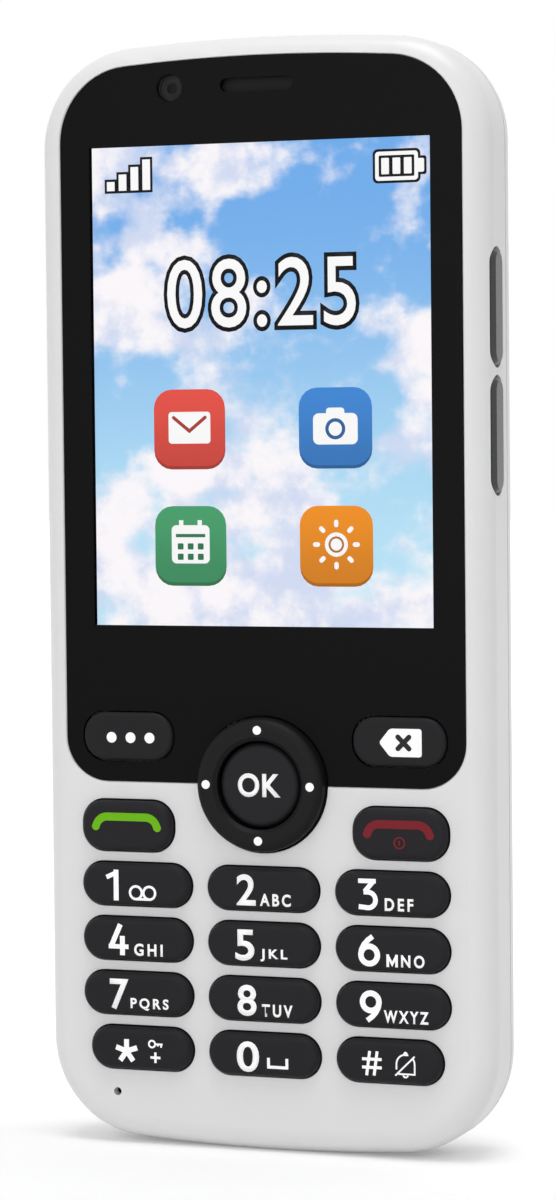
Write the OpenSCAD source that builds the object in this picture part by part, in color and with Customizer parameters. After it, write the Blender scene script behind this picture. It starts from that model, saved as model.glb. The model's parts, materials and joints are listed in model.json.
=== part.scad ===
// A large-key bar phone, standing upright with its front facing -Y.
// Units are millimetres. The origin is at the bottom centre; a depth d runs back from the front plane.

/* [Body] */
// Width of the housing
body_w = 57; // [52:0.5:63]
// Height of the housing
body_h = 133.4; // [120:0.2:147]
// Thickness from the front plane to the back plane
body_t = 12.2; // [11:0.1:13.4]
// Radius of the four outline corners
corner_r = 12; // [10.5:0.5:13]
// Radius of the front edge
front_edge_r = 2.9; // [2.2:0.1:3]
// Thickness of the front wall
front_wall = 1.3; // [1.2:0.05:1.45]
// Thickness of the side wall
side_wall = 1.6; // [1.4:0.05:1.7]
// Thickness of the rear cover
cover_wall = 1.1; // [0.9:0.05:1.3]
// Width and depth of the fine groove where the rear cover meets the housing
seam_line = 0.25; // [0.15:0.05:0.35]
// Depth of the straight part of the cover's sides, before its edge curves to the back
cover_side = 0.4; // [0.2:0.05:0.8]

/* [Window and display] */
// Distance of the dark window's side edges from the sides of the body
window_side = 3.1; // [2.8:0.05:3.4]
// Distance of the window's top edge from the top of the body
window_margin = 2.45; // [2.2:0.05:3]
// Radius of the window's top corners
window_top_r = 9; // [7:0.5:10]
// Radius of the window's bottom corners
window_bottom_r = 5.3; // [4:0.1:6]
// Thickness of the window
window_t = 0.8; // [0.7:0.05:0.85]
// How far the window sits below the front plane
window_sink = 0.03; // [0.02:0.01:0.06]
// Thickness of the adhesive behind the window
bond_t = 0.1; // [0.08:0.01:0.15]
// Gap round the window in its recess
window_gap = 0.08; // [0.05:0.01:0.12]
// Width of the bevel on the housing round the window
window_rim = 0.16; // [0.1:0.02:0.24]
// Width of the dark border on each side of the picture
screen_side = 3.8; // [3.4:0.05:4.4]
// Distance of the picture above the menu keys
screen_rise = 10.5; // [9.5:0.005:12]
// Distance of the picture from the top of the body
screen_drop = 12.6; // [11.8:0.1:14]
// Border of the display glass at the sides and the top
lcd_border = 1.5; // [1:0.1:1.6]
// Border of the display glass at the bottom, where its driver is
lcd_foot = 3; // [2:0.1:3.3]
// Thickness of the display glass
lcd_t = 0.85; // [0.7:0.05:0.95]
// Thickness of the light unit behind the display glass
backlight_t = 0.72; // [0.6:0.02:0.8]
// Gap round the display glass in the housing
lcd_gap = 0.15; // [0.1:0.05:0.25]
// Thickness of the foam cushion between the light unit and the main board
cushion_t = 1.1; // [1:0.05:1.3]

/* [Keys] */
// Distance of the lowest number keys from the bottom of the body
keypad_rise = 9.326; // [8.6:0.002:10]
// Distance of the number keys from the sides of the body
key_side = 5.15; // [4.7:0.05:6]
// Space between key columns
key_space = 2.2; // [1.9:0.05:2.6]
// Height of a number key
key_h = 5.15; // [4.8:0.05:5.6]
// Space between key rows
row_space = 1.493; // [1.2:0.001:1.8]
// How much shorter the two lower corner keys are
corner_key_cut = 0.9; // [0.6:0.1:1.5]
// How far the number keys stand proud
key_proud = 1; // [0.7:0.05:1.2]
// Radius of the keys' front edges
key_edge_r = 0.75; // [0.5:0.05:0.9]
// Outer radius of the navigation ring
ring_r = 8.04; // [7.6:0.01:8.6]
// Space between the ring and the first row of number keys
ring_space = 1.905; // [1.6:0.005:2.4]
// Radius of the hole in the ring
ring_hole_r = 5.35; // [4.9:0.05:5.8]
// How far the ring stands proud of the front plane
ring_proud = 1.8; // [1.4:0.1:2]
// Radius of the ring's outer front edge
ring_edge_r = 1.1; // [0.8:0.05:1.2]
// Largest tilt of the ring to each side, in degrees
ring_tilt = 1.5; // [1:0.1:1.6]
// Gap between the confirm key and the ring
ok_gap = 0.3; // [0.25:0.01:0.4]
// How far the confirm key stands proud
ok_proud = 1.2; // [0.8:0.1:1.4]
// Height of the call and end keys
call_h = 6.1; // [5.6:0.05:6.5]
// Distance of the call and end keys from the sides of the body
call_side = 5.205; // [4.7:0.005:6]
// Distance of the call and end keys from the ring
call_gap = 3.465; // [3.1:0.005:4]
// Space between the call and end keys and the first row of number keys
call_space = 1.495; // [1.2:0.005:1.8]
// Straight length of the rounded ends of the call and end keys
call_flat = 0.7; // [0.5:0.05:1.2]
// Height of the menu and clear keys
menu_h = 5.8; // [5.4:0.05:6.2]
// Distance of the menu and clear keys from the sides of the body
menu_side = 5.4; // [5:0.005:6]
// Distance of the menu and clear keys from the ring
menu_gap = 3.46; // [3:0.005:4]
// Height of the menu and clear keys above the ring's centre
menu_rise = 2.55; // [2.2:0.005:3]
// Straight length of the rounded ends of the menu and clear keys
menu_flat = 0.35; // [0.3:0.05:0.8]
// How far the menu and clear keys stand proud of the window
menu_proud = 0.35; // [0.2:0.05:0.6]
// Radius of the front edges of the menu and clear keys
menu_edge_r = 0.5; // [0.3:0.05:0.6]
// Gap round each key in its opening
key_gap = 0.2; // [0.15:0.01:0.25]
// Gap round the navigation ring in its opening
ring_gap = 0.25; // [0.2:0.01:0.3]
// Stroke of every key
key_travel = 0.3; // [0.2:0.05:0.32]
// Reach of the retaining ears at both ends of a key
ear_reach = 0.6; // [0.45:0.05:0.65]
// Thickness of the retaining ears
ear_t = 0.6; // [0.5:0.05:0.65]
// How much lower the ears are than their key
ear_trim = 0.8; // [0.6:0.1:1.2]
// Radius of a key's plunger
plunger_r = 1.2; // [0.9:0.1:1.4]
// Radius of a snap dome at its base
dome_r = 2; // [1.8:0.05:2.2]
// Height of a snap dome
dome_h = 0.25; // [0.2:0.01:0.28]
// Thickness of the sheet that holds the domes
dome_sheet_t = 0.15; // [0.1:0.01:0.17]

/* [Side keys] */
// Length of each side key
side_key_len = 13.8; // [12.6:0.1:15]
// Width of each side key across the side wall
side_key_w = 3.6; // [3.2:0.1:3.8]
// Space between the two side keys
side_key_space = 1.2; // [1.1:0.05:2]
// Distance of the middle between the side keys from the top of the body
side_key_drop = 40.15; // [37:0.05:44]
// Depth of the side keys' centre line behind the front plane
side_key_d = 3.7; // [3.6:0.05:4.2]
// How far the side keys stand proud of the side
side_key_proud = 0.3; // [0.25:0.05:0.5]
// Width of the bevel round the side keys
side_key_bevel = 0.5; // [0.3:0.05:0.6]
// Depth of the middle of the side keys' feet, which meet the switches, behind the front plane
side_ear_d = 4.55; // [4.4:0.05:4.6]
// Width of the side keys' feet across the side wall
side_ear_w = 3.3; // [3:0.1:3.4]

/* [Openings] */
// Width of the earpiece slot
ear_slot_w = 9.2; // [8.3:0.1:10]
// Height of the earpiece slot
ear_slot_h = 1.65; // [1.45:0.05:1.85]
// Distance of the earpiece slot's centre below the top of the body
ear_drop = 5.8; // [5.5:0.1:6.2]
// Distance of the front camera from the middle
front_cam_x = 11.1; // [10.2:0.1:12.2]
// Radius of the front camera's barrel
front_cam_r = 1.5; // [1.2:0.1:1.7]
// Distance of the microphone hole from the side of the body
mic_side = 9.2; // [9:0.1:10]
// Height of the microphone hole above the bottom
mic_z = 6.4; // [5.8:0.1:7]
// Radius of the microphone hole
mic_r = 0.5; // [0.4:0.05:0.7]
// Radius of the headset jack's bore
jack_r = 1.75; // [1.74:0.01:1.78]
// Length of the headset jack's bore
jack_len = 14; // [12.6:0.1:15.4]
// Distance of the headset jack from the middle
jack_x = 15; // [13.6:0.1:16.4]
// Depth of the jack's mouth below the top of the body
jack_sink = 0.9; // [0.8:0.05:1.1]
// Width of the opening in the charging socket
usb_w = 8.34; // [8.3:0.01:8.4]
// Height of the opening in the charging socket
usb_h = 2.56; // [2.5:0.01:2.6]
// Length of the charging socket
usb_len = 7.2; // [6.6:0.1:7.6]

/* [Inside] */
// Thickness of the main board
board_t = 1; // [0.8:0.05:1.1]
// Height of the parts bay between the main board and the chassis plate
parts_h = 1.8; // [1.7:0.05:2]
// Gap between the long edges of the main board and the walls
board_side_gap = 1.7; // [1.6:0.05:2]
// Gap between the ends of the main board and the walls
board_end_gap = 2.4; // [2.2:0.1:2.8]
// Thickness of the rear chassis plate
plate_t = 0.8; // [0.7:0.05:0.9]
// Gap between the rear chassis and the side wall
chassis_gap = 0.15; // [0.1:0.01:0.2]
// Radius of a screw boss
boss_r = 1.6; // [1.45:0.05:1.75]
// Width of the shoulder on a boss that the board rests on
shoulder_w = 0.6; // [0.5:0.05:0.65]
// Radius of a screw's shank
screw_r = 0.55; // [0.5:0.01:0.7]
// Radius of a screw's head
screw_head_r = 1.3; // [1.15:0.05:1.45]
// Height of a screw's head
screw_head_t = 0.6; // [0.4:0.05:0.8]
// Distance of the battery from the sides of the body
battery_side = 7; // [6.6:0.1:8]
// Distance of the battery above the loudspeaker
battery_rise = 6; // [5.4:0.1:7]
// Thickness of the battery bay's walls
bay_wall = 0.9; // [0.7:0.05:1]
// Radius of the rear camera's lens surround
lens_r = 3.7; // [3.4:0.05:4.1]
// Distance of the rear camera below the top of the body
lens_drop = 19.9; // [18.4:0.1:21.9]
// How far the lens surround lies below the back plane
lens_sink = 0.1; // [0.05:0.05:0.3]
// Distance of the flash from the rear camera
flash_x = 8.5; // [8:0.1:9.3]
// Radius of the flash lens
flash_r = 1.5; // [1.2:0.1:1.7]
// Radius of the assistance button
assist_r = 5.9; // [5.4:0.1:6.5]
// Distance of the assistance button below the rear camera
assist_drop = 15.5; // [14.5:0.1:17]
// How far the assistance button lies below the back plane
assist_sink = 0.2; // [0.1:0.05:0.4]
// Distance of the battery contacts below the assistance button
contact_drop = 10.4; // [9.8:0.1:11.4]
// Width of the battery contact block
contact_w = 12; // [11:0.2:13]
// Height of the battery contact block
contact_h = 3; // [2.8:0.1:3.2]
// Width of the loudspeaker
speaker_w = 16; // [14.4:0.2:17.6]
// Height of the loudspeaker
speaker_h = 11; // [10:0.2:12]
// Height of the loudspeaker's centre above the bottom
speaker_z = 17.5; // [16:0.5:19]
// Number of slots over the loudspeaker
slot_count = 5; // [3:1:5]
// Width of a loudspeaker slot
slot_w = 1.1; // [0.8:0.1:1.3]
// Height of the shield can over the radio
radio_can_h = 25; // [22.5:0.5:26]
// Height of the shield can over the processor
processor_can_h = 26; // [23.5:0.5:28.5]
// Height of the card holder
sim_h = 12.5; // [11.5:0.5:13.5]
// Edge length of the rear camera module
camera_w = 8.5; // [8:0.1:9]
// Edge length of the front camera module
front_cam_w = 6; // [5.5:0.1:6.4]
// Height of the earpiece
earpiece_h = 6; // [5.5:0.1:6.4]
// Radius of the vibration motor
motor_r = 4; // [3.6:0.1:4.4]
// Width of an antenna strip
antenna_h = 4.5; // [4:0.1:4.9]

/* [Hidden] */
$fn = 48;
arc_fn = 720;
end_sin = 237 / 3125;
end_cos = 3116 / 3125;
end_turn = asin(end_sin);
eps = 0.001;
slack = 0.05;
over = 1;
through = 0.2;
seat_gap = 0.15;
bite = 0.1;
half_w = body_w / 2;
front_lead = (body_t - ring_proud) / 2;

// Depths, counted back from the front plane
recess_d = window_sink + window_t + bond_t;
lcd_d = recess_d;
backlight_d = lcd_d + lcd_t;
cushion_d = backlight_d + backlight_t;
board_d = cushion_d + cushion_t;
board_back = board_d + board_t;
plate_d = board_back + parts_h;
seam_d = plate_d + plate_t;
back_edge_r = body_t - seam_d - seam_line - cover_side;
cover_in = body_t - cover_wall;
dome_top = board_d - dome_sheet_t - dome_h;
plunger_end = dome_top - key_travel - slack;
ear_d = front_wall + slack;
mat_d = ear_d + ear_t + key_travel + seat_gap;

// Key field, built up from the bottom edge and spread over the body's width
key_w = (body_w - 2 * key_side - 2 * key_space) / 3;
column_pitch = key_w + key_space;
row_pitch = key_h + row_space;
columns = [-column_pitch, 0, column_pitch];
rows = [for (i = [0:3]) keypad_rise + key_h / 2 + (3 - i) * row_pitch];
keypad_top = rows[0] + key_h / 2;
nav_z = keypad_top + ring_space + ring_r;
ok_r = ring_hole_r - ok_gap;
call_w = half_w - call_side - ring_r - call_gap;
call_x = ring_r + call_gap + call_w / 2;
call_z = keypad_top + call_space + call_h / 2;
call_corner_r = (call_h - call_flat) / 2;
menu_w = half_w - menu_side - ring_r - menu_gap;
menu_x = ring_r + menu_gap + menu_w / 2;
menu_z = nav_z + menu_rise + menu_h / 2;
menu_corner_r = (menu_h - menu_flat) / 2;

// Window, picture and display glass fill the height above the key field
window_w = body_w - 2 * window_side;
screen_w = window_w - 2 * screen_side;
screen_z = menu_z + menu_h / 2 + screen_rise;
screen_h = body_h - screen_drop - screen_z;
lcd_w = screen_w + 2 * lcd_border;
lcd_h = screen_h + lcd_border + lcd_foot;
lcd_z = screen_z - lcd_foot;
top_row = body_h - ear_drop;

// Mat and domes behind the keys
mat_gap = 0.3;
mat_w = 2 * (max(call_x, column_pitch) + dome_r + mat_gap + 2.7);
mat_bottom = rows[3] - dome_r - mat_gap - 0.6;
mat_top = menu_z + dome_r + mat_gap + 1.6;
flange_r = ring_r + ring_gap + 0.46;
flange_d = front_wall + flange_r * sin(ring_tilt) * sqrt(2) + 0.07;
flange_t = 0.45;
pad_d = flange_d + flange_t + flange_r * sin(ring_tilt) + slack;
pad_t = 0.3;
ok_flange_r = ring_hole_r + 0.65;
dot_r = (ring_r + ring_hole_r) / 2 - 0.2;

// Screw bosses in mirrored pairs
shoulder_r = boss_r + shoulder_w;
boss_low = [half_w - side_wall - 3.9, side_wall + 5.3];
boss_mid = [half_w - side_wall - 1.5, lcd_z - lcd_gap - shoulder_r - 0.85];
boss_top = [half_w - side_wall - 2.9, body_h - side_wall - 6.8];
bosses = [for (b = [boss_low, boss_mid, boss_top]) for (s = [-1, 1]) [s * b[0], b[1]]];
mic_x = half_w - mic_side;

// Side keys
side_key_z = body_h - side_key_drop;
side_key_pitch = side_key_len + side_key_space;
side_ear_reach = (side_key_space - 0.2) / 2;
side_ear_x = half_w - side_wall - 0.2;
side_ear_t = 0.65;
switch_tip = side_ear_x - side_ear_t - key_travel - slack;
switch_w = 2.8;
switch_len = 4.4;

// Sockets in the end faces
jack_wall = 0.6;
jack_floor = 0.8;
jack_neck_t = 0.3;
jack_hole_gap = 0.15;
jack_d = cushion_d + bite + jack_r + jack_wall;
jack_mouth = body_h - jack_sink;
jack_foot = jack_mouth - jack_len;
jack_top = body_h - side_wall - inner_drop(jack_x + jack_r + jack_wall) - 2 * slack;
usb_d = board_back + 0.4;
usb_shell = 0.3;
usb_sink = 0.7;
notch_gap = 0.2;
jack_bay_w = 2 * (jack_r + jack_wall + notch_gap);
jack_bay_h = body_h - jack_foot + jack_floor + notch_gap;
usb_bay_w = usb_w + 2 * (usb_shell + notch_gap);
usb_bay_h = usb_sink + usb_len + notch_gap;

// Rear parts, hung from the top of the body, with the battery between them and the loudspeaker
lens_z = body_h - lens_drop;
assist_z = lens_z - assist_drop;
assist_stem_r = 3;
assist_hook_r = 3.5;
contact_z = assist_z - contact_drop;
battery_gap = 0.3;
battery_w = body_w - 2 * battery_side;
battery_z = speaker_z + speaker_h / 2 + battery_rise;
battery_h = contact_z - contact_h / 2 - 1.1 - battery_z;
bay_w = battery_w + battery_gap;
bay_len = battery_h + battery_gap;
bay_mid = battery_z + battery_h / 2;

// Board and the parts on its back
board_w = body_w - 2 * side_wall - 2 * board_side_gap;
part_gap = 0.2;
radio_can_w = board_w / 2 - 2.7 - camera_w / 2 - 1.25;
radio_can_x = -(board_w - radio_can_w) / 2 + 2.7;
radio_can_z = assist_z + 5;
processor_can_w = board_w / 2 - switch_w - 0.4 - 3;
processor_can_x = 3 + processor_can_w / 2;
processor_can_z = contact_z - contact_h / 2 - 1.1 - processor_can_h / 2;
sim_w = board_w / 2 - 5.7 - 4.5;
sim_x = -4.5 - sim_w / 2;
sim_z = contact_z - 19.6;
motor_x = speaker_w / 2 + motor_r + 5;
motor_z = speaker_z + 4.5;
pad_low = 24;
pad_rise = 15;
pad_drop = 27.4;
pad_z = [pad_low, bay_mid + pad_rise, body_h - pad_drop];
antenna_low_side = 13.5;
antenna_high_side = 7.5;
antenna_low = half_w - antenna_low_side;
antenna_high = half_w - antenna_high_side;
flex_w = 10;
flex_t = 0.12;
flex_run = 2.2;
flex_plug_w = flex_w + 2;
flex_plug_h = 2.4;
flex_plug_t = 0.6;
mat_corner_r = 3;
board_corner_r = corner_r - side_wall - board_end_gap + through;
antenna_end = 5;
antenna_rise = 5;
antenna_t = 0.15;
can_corner_r = 1;
earpiece_w = ear_slot_w + 3.3;
earpiece_corner_r = 2.5;
mic_boot_r = 1.25;
mic_t = 1;
bond_margin = 0.6;
hook_t = 0.4;
assist_edge_r = 0.6;
assist_switch_w = 5;
lens_rim = 0.7;
lens_flange_w = 0.8;
lens_flange_t = 0.3;
flash_base_t = 0.7;
speaker_bay_h = 2.3;
speaker_corner_r = 2;
mesh_corner_r = 1.5;
battery_corner_r = 1.5;
contact_t = 2;
finger_pitch = 2.6;
finger_w = 1;
usb_floor = 0.8;
usb_tongue_w = 6.7;
usb_tongue_t = 0.7;
usb_tongue_sink = 1;
cover_pad = [2.6, 7, 1.2];
cover_pad_gap = 0.4;
pry_r = 6;
pry_depth = 0.8;
pry_z = 20;

// Frames: at() looks at the front, with depth along local -z; at_side() looks at the right side
module at(x, z) translate([x, -front_lead, z]) rotate([90, 0, 0]) children();
module at_side(d, z) translate([0, d - front_lead, z]) rotate([90, 0, 90]) children();

// Plain solids between two depths
module post(r, d0, d1) translate([0, 0, -d1]) cylinder(r = r, h = d1 - d0);
module slab(w, h, d0, d1) translate([-w / 2, -h / 2, -d1]) cube([w, h, d1 - d0]);
module round_rect(w, h, r) {
  if (w - 2 * r > eps) square([w - 2 * r, h], center = true);
  if (h - 2 * r > eps) square([w, h - 2 * r], center = true);
  for (x = [-1, 1]) for (y = [-1, 1]) translate([x * (w / 2 - r), y * (h / 2 - r)]) circle(r);
}
module pill(w, h) {
  r = min(w, h) / 2;
  square([max(w - 2 * r, w > h ? eps : 2 * r), max(h - 2 * r, h > w ? eps : 2 * r)], center = true);
  for (s = [-1, 1]) translate([s * (w / 2 - r), s * (h / 2 - r)]) circle(r);
}
module round_slab(w, h, r, d0, d1) translate([0, 0, -d1]) linear_extrude(d1 - d0) round_rect(w, h, r);
module pill_slab(w, h, d0, d1) translate([0, 0, -d1]) linear_extrude(d1 - d0) pill(w, h);

// Section of an edge from the distance inner to the distance reach; near_r and far_r round its two corners,
// bevel cuts the near corner, and flare widens a cut that starts in front of the front plane
module edge_section(inner, reach, d0, d1, near_r, far_r, bevel = 0, flare = 0) {
  if (flare > 0) polygon([[inner, -flare], [reach, -flare], [reach + flare - d0, -d0], [inner, -d0]]);
  difference() {
    translate([inner, -d1]) square([reach - inner, d1 - d0]);
    if (bevel > 0) polygon([[reach - bevel, -d0], [reach + over, -d0], [reach + over, -d0 - bevel],
      [reach, -d0 - bevel]]);
    if (near_r > 0) difference() {
      translate([reach - near_r, -d0 - near_r]) square([near_r + over, near_r + over]);
      translate([reach - near_r, -d0 - near_r]) circle(near_r);
    }
    if (far_r > 0) difference() {
      translate([reach - far_r, -d1 - over]) square([far_r + over, far_r + over]);
      translate([reach - far_r, -d1 + far_r]) circle(far_r);
    }
  }
}

// A key cap: a rounded rectangle whose front edge is rounded or bevelled all the way round
module soft_cap(w, h, r, d0, d1, edge, bevel = 0) {
  if (w - 2 * r > eps) translate([-(w / 2 - r), 0, 0]) rotate([90, 0, 90]) linear_extrude(w - 2 * r)
    for (s = [0, 1]) mirror([s, 0]) edge_section(0, h / 2, d0, d1, edge, 0, bevel);
  if (h - 2 * r > eps) translate([0, h / 2 - r, 0]) rotate([90, 0, 0]) linear_extrude(h - 2 * r)
    for (s = [0, 1]) mirror([s, 0]) edge_section(0, w / 2, d0, d1, edge, 0, bevel);
  for (sx = [0, 1]) for (sy = [0, 1]) mirror([sx, 0, 0]) mirror([0, sy, 0])
    translate([w / 2 - r, h / 2 - r, 0]) rotate_extrude(angle = 90)
      edge_section(0, r, d0, d1, edge, 0, bevel);
}

// The outline is two straight sides, four corner arcs and a shallow arc at each end, tangent to the corners.
// The arcs meet the corners at the slope of a whole-number triangle, and lengths are rounded to a
// micrometre, so that neighbouring sweeps end on exactly the same planes.
function end_arc(hw, r) = round(1000 * (r + (hw - r) / end_sin)) / 1000;
function end_lift(hw, r) = round(1000 * (r + (end_arc(hw, r) - r) * (1 - end_cos))) / 1000;
function end_drop(x, hw, r, arc) = x < arc * end_sin
  ? arc - sqrt(arc * arc - x * x) : end_lift(hw, r) - sqrt(r * r - pow(x - hw + r, 2));
function inner_drop(x) = let (hw = half_w - side_wall, r = corner_r - side_wall)
  round(1000 * end_drop(x, hw, r, end_arc(hw, r))) / 1000;

// One end of the right half: a corner and half of the shallow arc, swept about their own axes
module half_end(hw, r, d0, d1, near_r, far_r, flare = 0) {
  arc = end_arc(hw, r);
  lift = end_lift(hw, r);
  intersection() {
    translate([hw - r, lift, 0]) rotate([0, 0, end_turn - 90]) {
      rotate_extrude(angle = 91 - end_turn) edge_section(0, r, d0, d1, near_r, far_r, 0, flare);
      translate([r - arc, 0, 0]) mirror([0, 1, 0]) rotate_extrude(angle = end_turn + 1, $fn = arc_fn)
        edge_section(arc - lift - 2, arc, d0, d1, near_r, far_r, 0, flare);
    }
    translate([0, -2 * over, -d1 - over]) cube([2 * hw, lift + 2 * over, d1 - d0 + 2 * over]);
  }
}
module side_run(hw, z0, z1, d0, d1, near_r, far_r, flare = 0) translate([0, z0, 0]) rotate([-90, 0, 0])
  linear_extrude(z1 - z0) mirror([0, 1]) edge_section(0, hw, d0, d1, near_r, far_r, 0, flare);
module both_halves() {
  children();
  mirror([1, 0, 0]) children();
}

// The body's form, moved inwards by inset, between two depths
module body_form(inset, d0, d1, near_r, far_r) {
  hw = half_w - inset;
  r = corner_r - inset;
  lift = end_lift(hw, r);
  at(0, 0) both_halves() {
    side_run(hw, inset + lift, body_h - inset - lift, d0, d1, near_r, far_r);
    translate([0, inset, 0]) half_end(hw, r, d0, d1, near_r, far_r);
    translate([0, body_h - inset, 0]) mirror([0, 1, 0]) half_end(hw, r, d0, d1, near_r, far_r);
  }
}

// The window's form, grown outwards by grow: curved top edge, straight bottom edge through the ring's centre
module window_form(grow, d0, d1, flare = 0) {
  hw = window_w / 2 + grow;
  r_low = window_bottom_r + grow;
  r_top = window_top_r + grow;
  low = nav_z - grow;
  high = body_h - window_margin + grow;
  at(0, 0) both_halves() {
    side_run(hw, low + r_low, high - end_lift(hw, r_top), d0, d1, 0, 0, flare);
    translate([0, low + r_low, 0]) rotate([90, 0, 90]) linear_extrude(hw - r_low) mirror([1, 0])
      edge_section(0, r_low, d0, d1, 0, 0, 0, flare);
    translate([hw - r_low, low + r_low, 0]) rotate([0, 0, -90]) rotate_extrude(angle = 90)
      edge_section(0, r_low, d0, d1, 0, 0, 0, flare);
    translate([0, high, 0]) mirror([0, 1, 0]) half_end(hw, r_top, d0, d1, 0, 0, flare);
  }
}

// Places and widths of the number keys; the two lower corner keys are shorter at their outer ends
function key_x(c, r) = columns[c] + (r == 3 ? (1 - c) * corner_key_cut / 2 : 0);
function key_len(c, r) = key_w - (r == 3 && c != 1 ? corner_key_cut : 0);

// Cuts for the keys that pass the front wall
module key_cuts(grow, d0, d1) {
  for (c = [0:2]) for (r = [0:3]) at(key_x(c, r), rows[r])
    pill_slab(key_len(c, r) + 2 * grow, key_h + 2 * grow, d0, d1);
  for (s = [-1, 1]) at(s * call_x, call_z)
    round_slab(call_w + 2 * grow, call_h + 2 * grow, call_corner_r + grow, d0, d1);
}
module window_key_cuts(grow, d0, d1) for (s = [-1, 1]) at(s * menu_x, menu_z)
  round_slab(menu_w + 2 * grow, menu_h + 2 * grow, menu_corner_r + grow, d0, d1);

module front_housing() color([0.93, 0.93, 0.94]) difference() {
  union() {
    difference() {
      body_form(0, 0, seam_d, front_edge_r, 0);
      body_form(side_wall, front_wall, seam_d + over, 0, 0);
    }
    for (b = bosses) at(b[0], b[1]) {
      post(shoulder_r, front_wall - through, board_d);
      post(boss_r, front_wall - through, plate_d);
    }
  }
  window_form(window_gap, -over, recess_d, window_rim);
  at(0, lcd_z + lcd_h / 2) slab(lcd_w + 2 * lcd_gap, lcd_h + 2 * lcd_gap, 0, front_wall + through);
  key_cuts(key_gap, -over, front_wall + through);
  window_key_cuts(key_gap, 0, front_wall + through);
  at(0, nav_z) post(ring_r + ring_gap, -over, front_wall + through);
  at(0, top_row) pill_slab(ear_slot_w + 2 * key_gap, ear_slot_h + 2 * key_gap, 0, front_wall + through);
  at(-front_cam_x, top_row) post(front_cam_r + key_gap, 0, front_wall + through);
  at(-mic_x, mic_z) post(mic_r, -over, front_wall + through);
  for (b = bosses) at(b[0], b[1]) post(screw_r + slack, board_d - over, plate_d + over);
  for (s = [-1, 1]) at_side(side_key_d, side_key_z + s * side_key_pitch / 2)
    translate([0, 0, side_ear_x]) linear_extrude(side_wall + over)
      pill(side_key_w + 2 * key_gap, side_key_len + 2 * key_gap);
  translate([jack_x, jack_d - front_lead, body_h - side_wall - over])
    cylinder(r = jack_r + jack_neck_t + jack_hole_gap, h = side_wall + 3);
  translate([0, usb_d - front_lead, -over]) linear_extrude(side_wall + 2 * over)
    pill(usb_w + 2 * (usb_shell + seat_gap), usb_h + 2 * (usb_shell + seat_gap));
}

module rear_chassis() color([0.16, 0.16, 0.17]) difference() {
  union() {
    body_form(side_wall + chassis_gap, plate_d, seam_d, 0, 0);
    at(0, bay_mid) slab(bay_w + 2 * bay_wall, bay_len + 2 * bay_wall, seam_d, cover_in - part_gap);
    at(0, speaker_z)
      slab(speaker_w + 2 * bay_wall, speaker_h + 2 * bay_wall, seam_d, seam_d + speaker_bay_h);
    for (s = [-1, 1]) for (z = pad_z) at(s * (half_w - cover_wall - cover_pad[0] / 2 - cover_pad_gap), z)
      slab(cover_pad[0], cover_pad[1], seam_d, seam_d + cover_pad[2]);
  }
  at(0, bay_mid) slab(bay_w, bay_len, seam_d, body_t);
  at(0, speaker_z) slab(speaker_w + part_gap, speaker_h + part_gap, seam_d, body_t);
  for (b = bosses) at(b[0], b[1]) post(screw_r + bite, plate_d - over, seam_d + over);
  at(0, lens_z) slab(camera_w + 2 * battery_gap, camera_w + 2 * battery_gap, plate_d - over, seam_d + over);
  at(flash_x, lens_z) post(flash_r + seat_gap, plate_d - over, seam_d + over);
  at(0, assist_z) post(assist_stem_r + seat_gap, plate_d - over, seam_d + over);
  at(jack_x, body_h) slab(jack_bay_w, 2 * jack_bay_h, plate_d - over, seam_d + over);
  at(0, 0) slab(usb_bay_w, 2 * usb_bay_h, plate_d - over, seam_d + over);
  at(0, contact_z)
    slab(contact_w + 2 * battery_gap, contact_h + 2 * battery_gap, plate_d - over, seam_d + over);
  at(0, contact_z - contact_h / 2 - 0.8) slab(contact_w + 2 * battery_gap, 3, seam_d, body_t);
  at(sim_x, sim_z) slab(sim_w - 2, sim_h - 3.5, plate_d - over, seam_d + over);
}

module rear_cover() color([0.93, 0.93, 0.94]) difference() {
  union() {
    body_form(seam_line, seam_d, seam_d + seam_line + bite, 0, 0);
    body_form(0, seam_d + seam_line, body_t, 0, back_edge_r);
  }
  body_form(cover_wall, seam_d - over, cover_in, 0, back_edge_r - cover_wall);
  at(0, lens_z) post(lens_r + bite, cover_in - over, body_t + over);
  at(flash_x, lens_z) post(flash_r + key_gap, cover_in - over, body_t + over);
  at(0, assist_z) post(assist_r + key_gap, cover_in - over, body_t + over);
  for (i = [0:slot_count - 1]) at((i - (slot_count - 1) / 2) * 2 * slot_w, speaker_z)
    pill_slab(slot_w, speaker_h - 4, cover_in - over, body_t + over);
  at_side(seam_d + pry_depth - pry_r, pry_z) translate([0, 0, -half_w - over])
    cylinder(r = pry_r, h = 3 * over);
}

module front_window() color([0.05, 0.05, 0.06]) difference() {
  window_form(0, window_sink, window_sink + window_t);
  window_key_cuts(key_gap, -over, front_wall);
  at(0, nav_z) post(ring_r + ring_gap, -over, front_wall);
  at(0, top_row) pill_slab(ear_slot_w, ear_slot_h, -over, front_wall);
}

module window_adhesive() color([0.1, 0.1, 0.1]) difference() {
  window_form(-bond_margin, window_sink + window_t, recess_d);
  at(0, lcd_z + lcd_h / 2) slab(lcd_w + 2 * lcd_gap, lcd_h + 2 * lcd_gap, 0, front_wall);
  window_key_cuts(key_gap + mat_gap, 0, front_wall);
  at(0, nav_z) post(ring_r + ring_gap + mat_gap, 0, front_wall);
  at(0, top_row) pill_slab(ear_slot_w + 4 * key_gap, ear_slot_h + 4 * key_gap, 0, front_wall);
  at(-front_cam_x, top_row) post(front_cam_r + 2 * key_gap, 0, front_wall);
}

module housing_screws() color([0.6, 0.6, 0.62]) for (b = bosses) at(b[0], b[1]) {
  post(screw_r, board_d - 0.4, seam_d);
  post(screw_head_r, seam_d, seam_d + screw_head_t);
}

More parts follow.
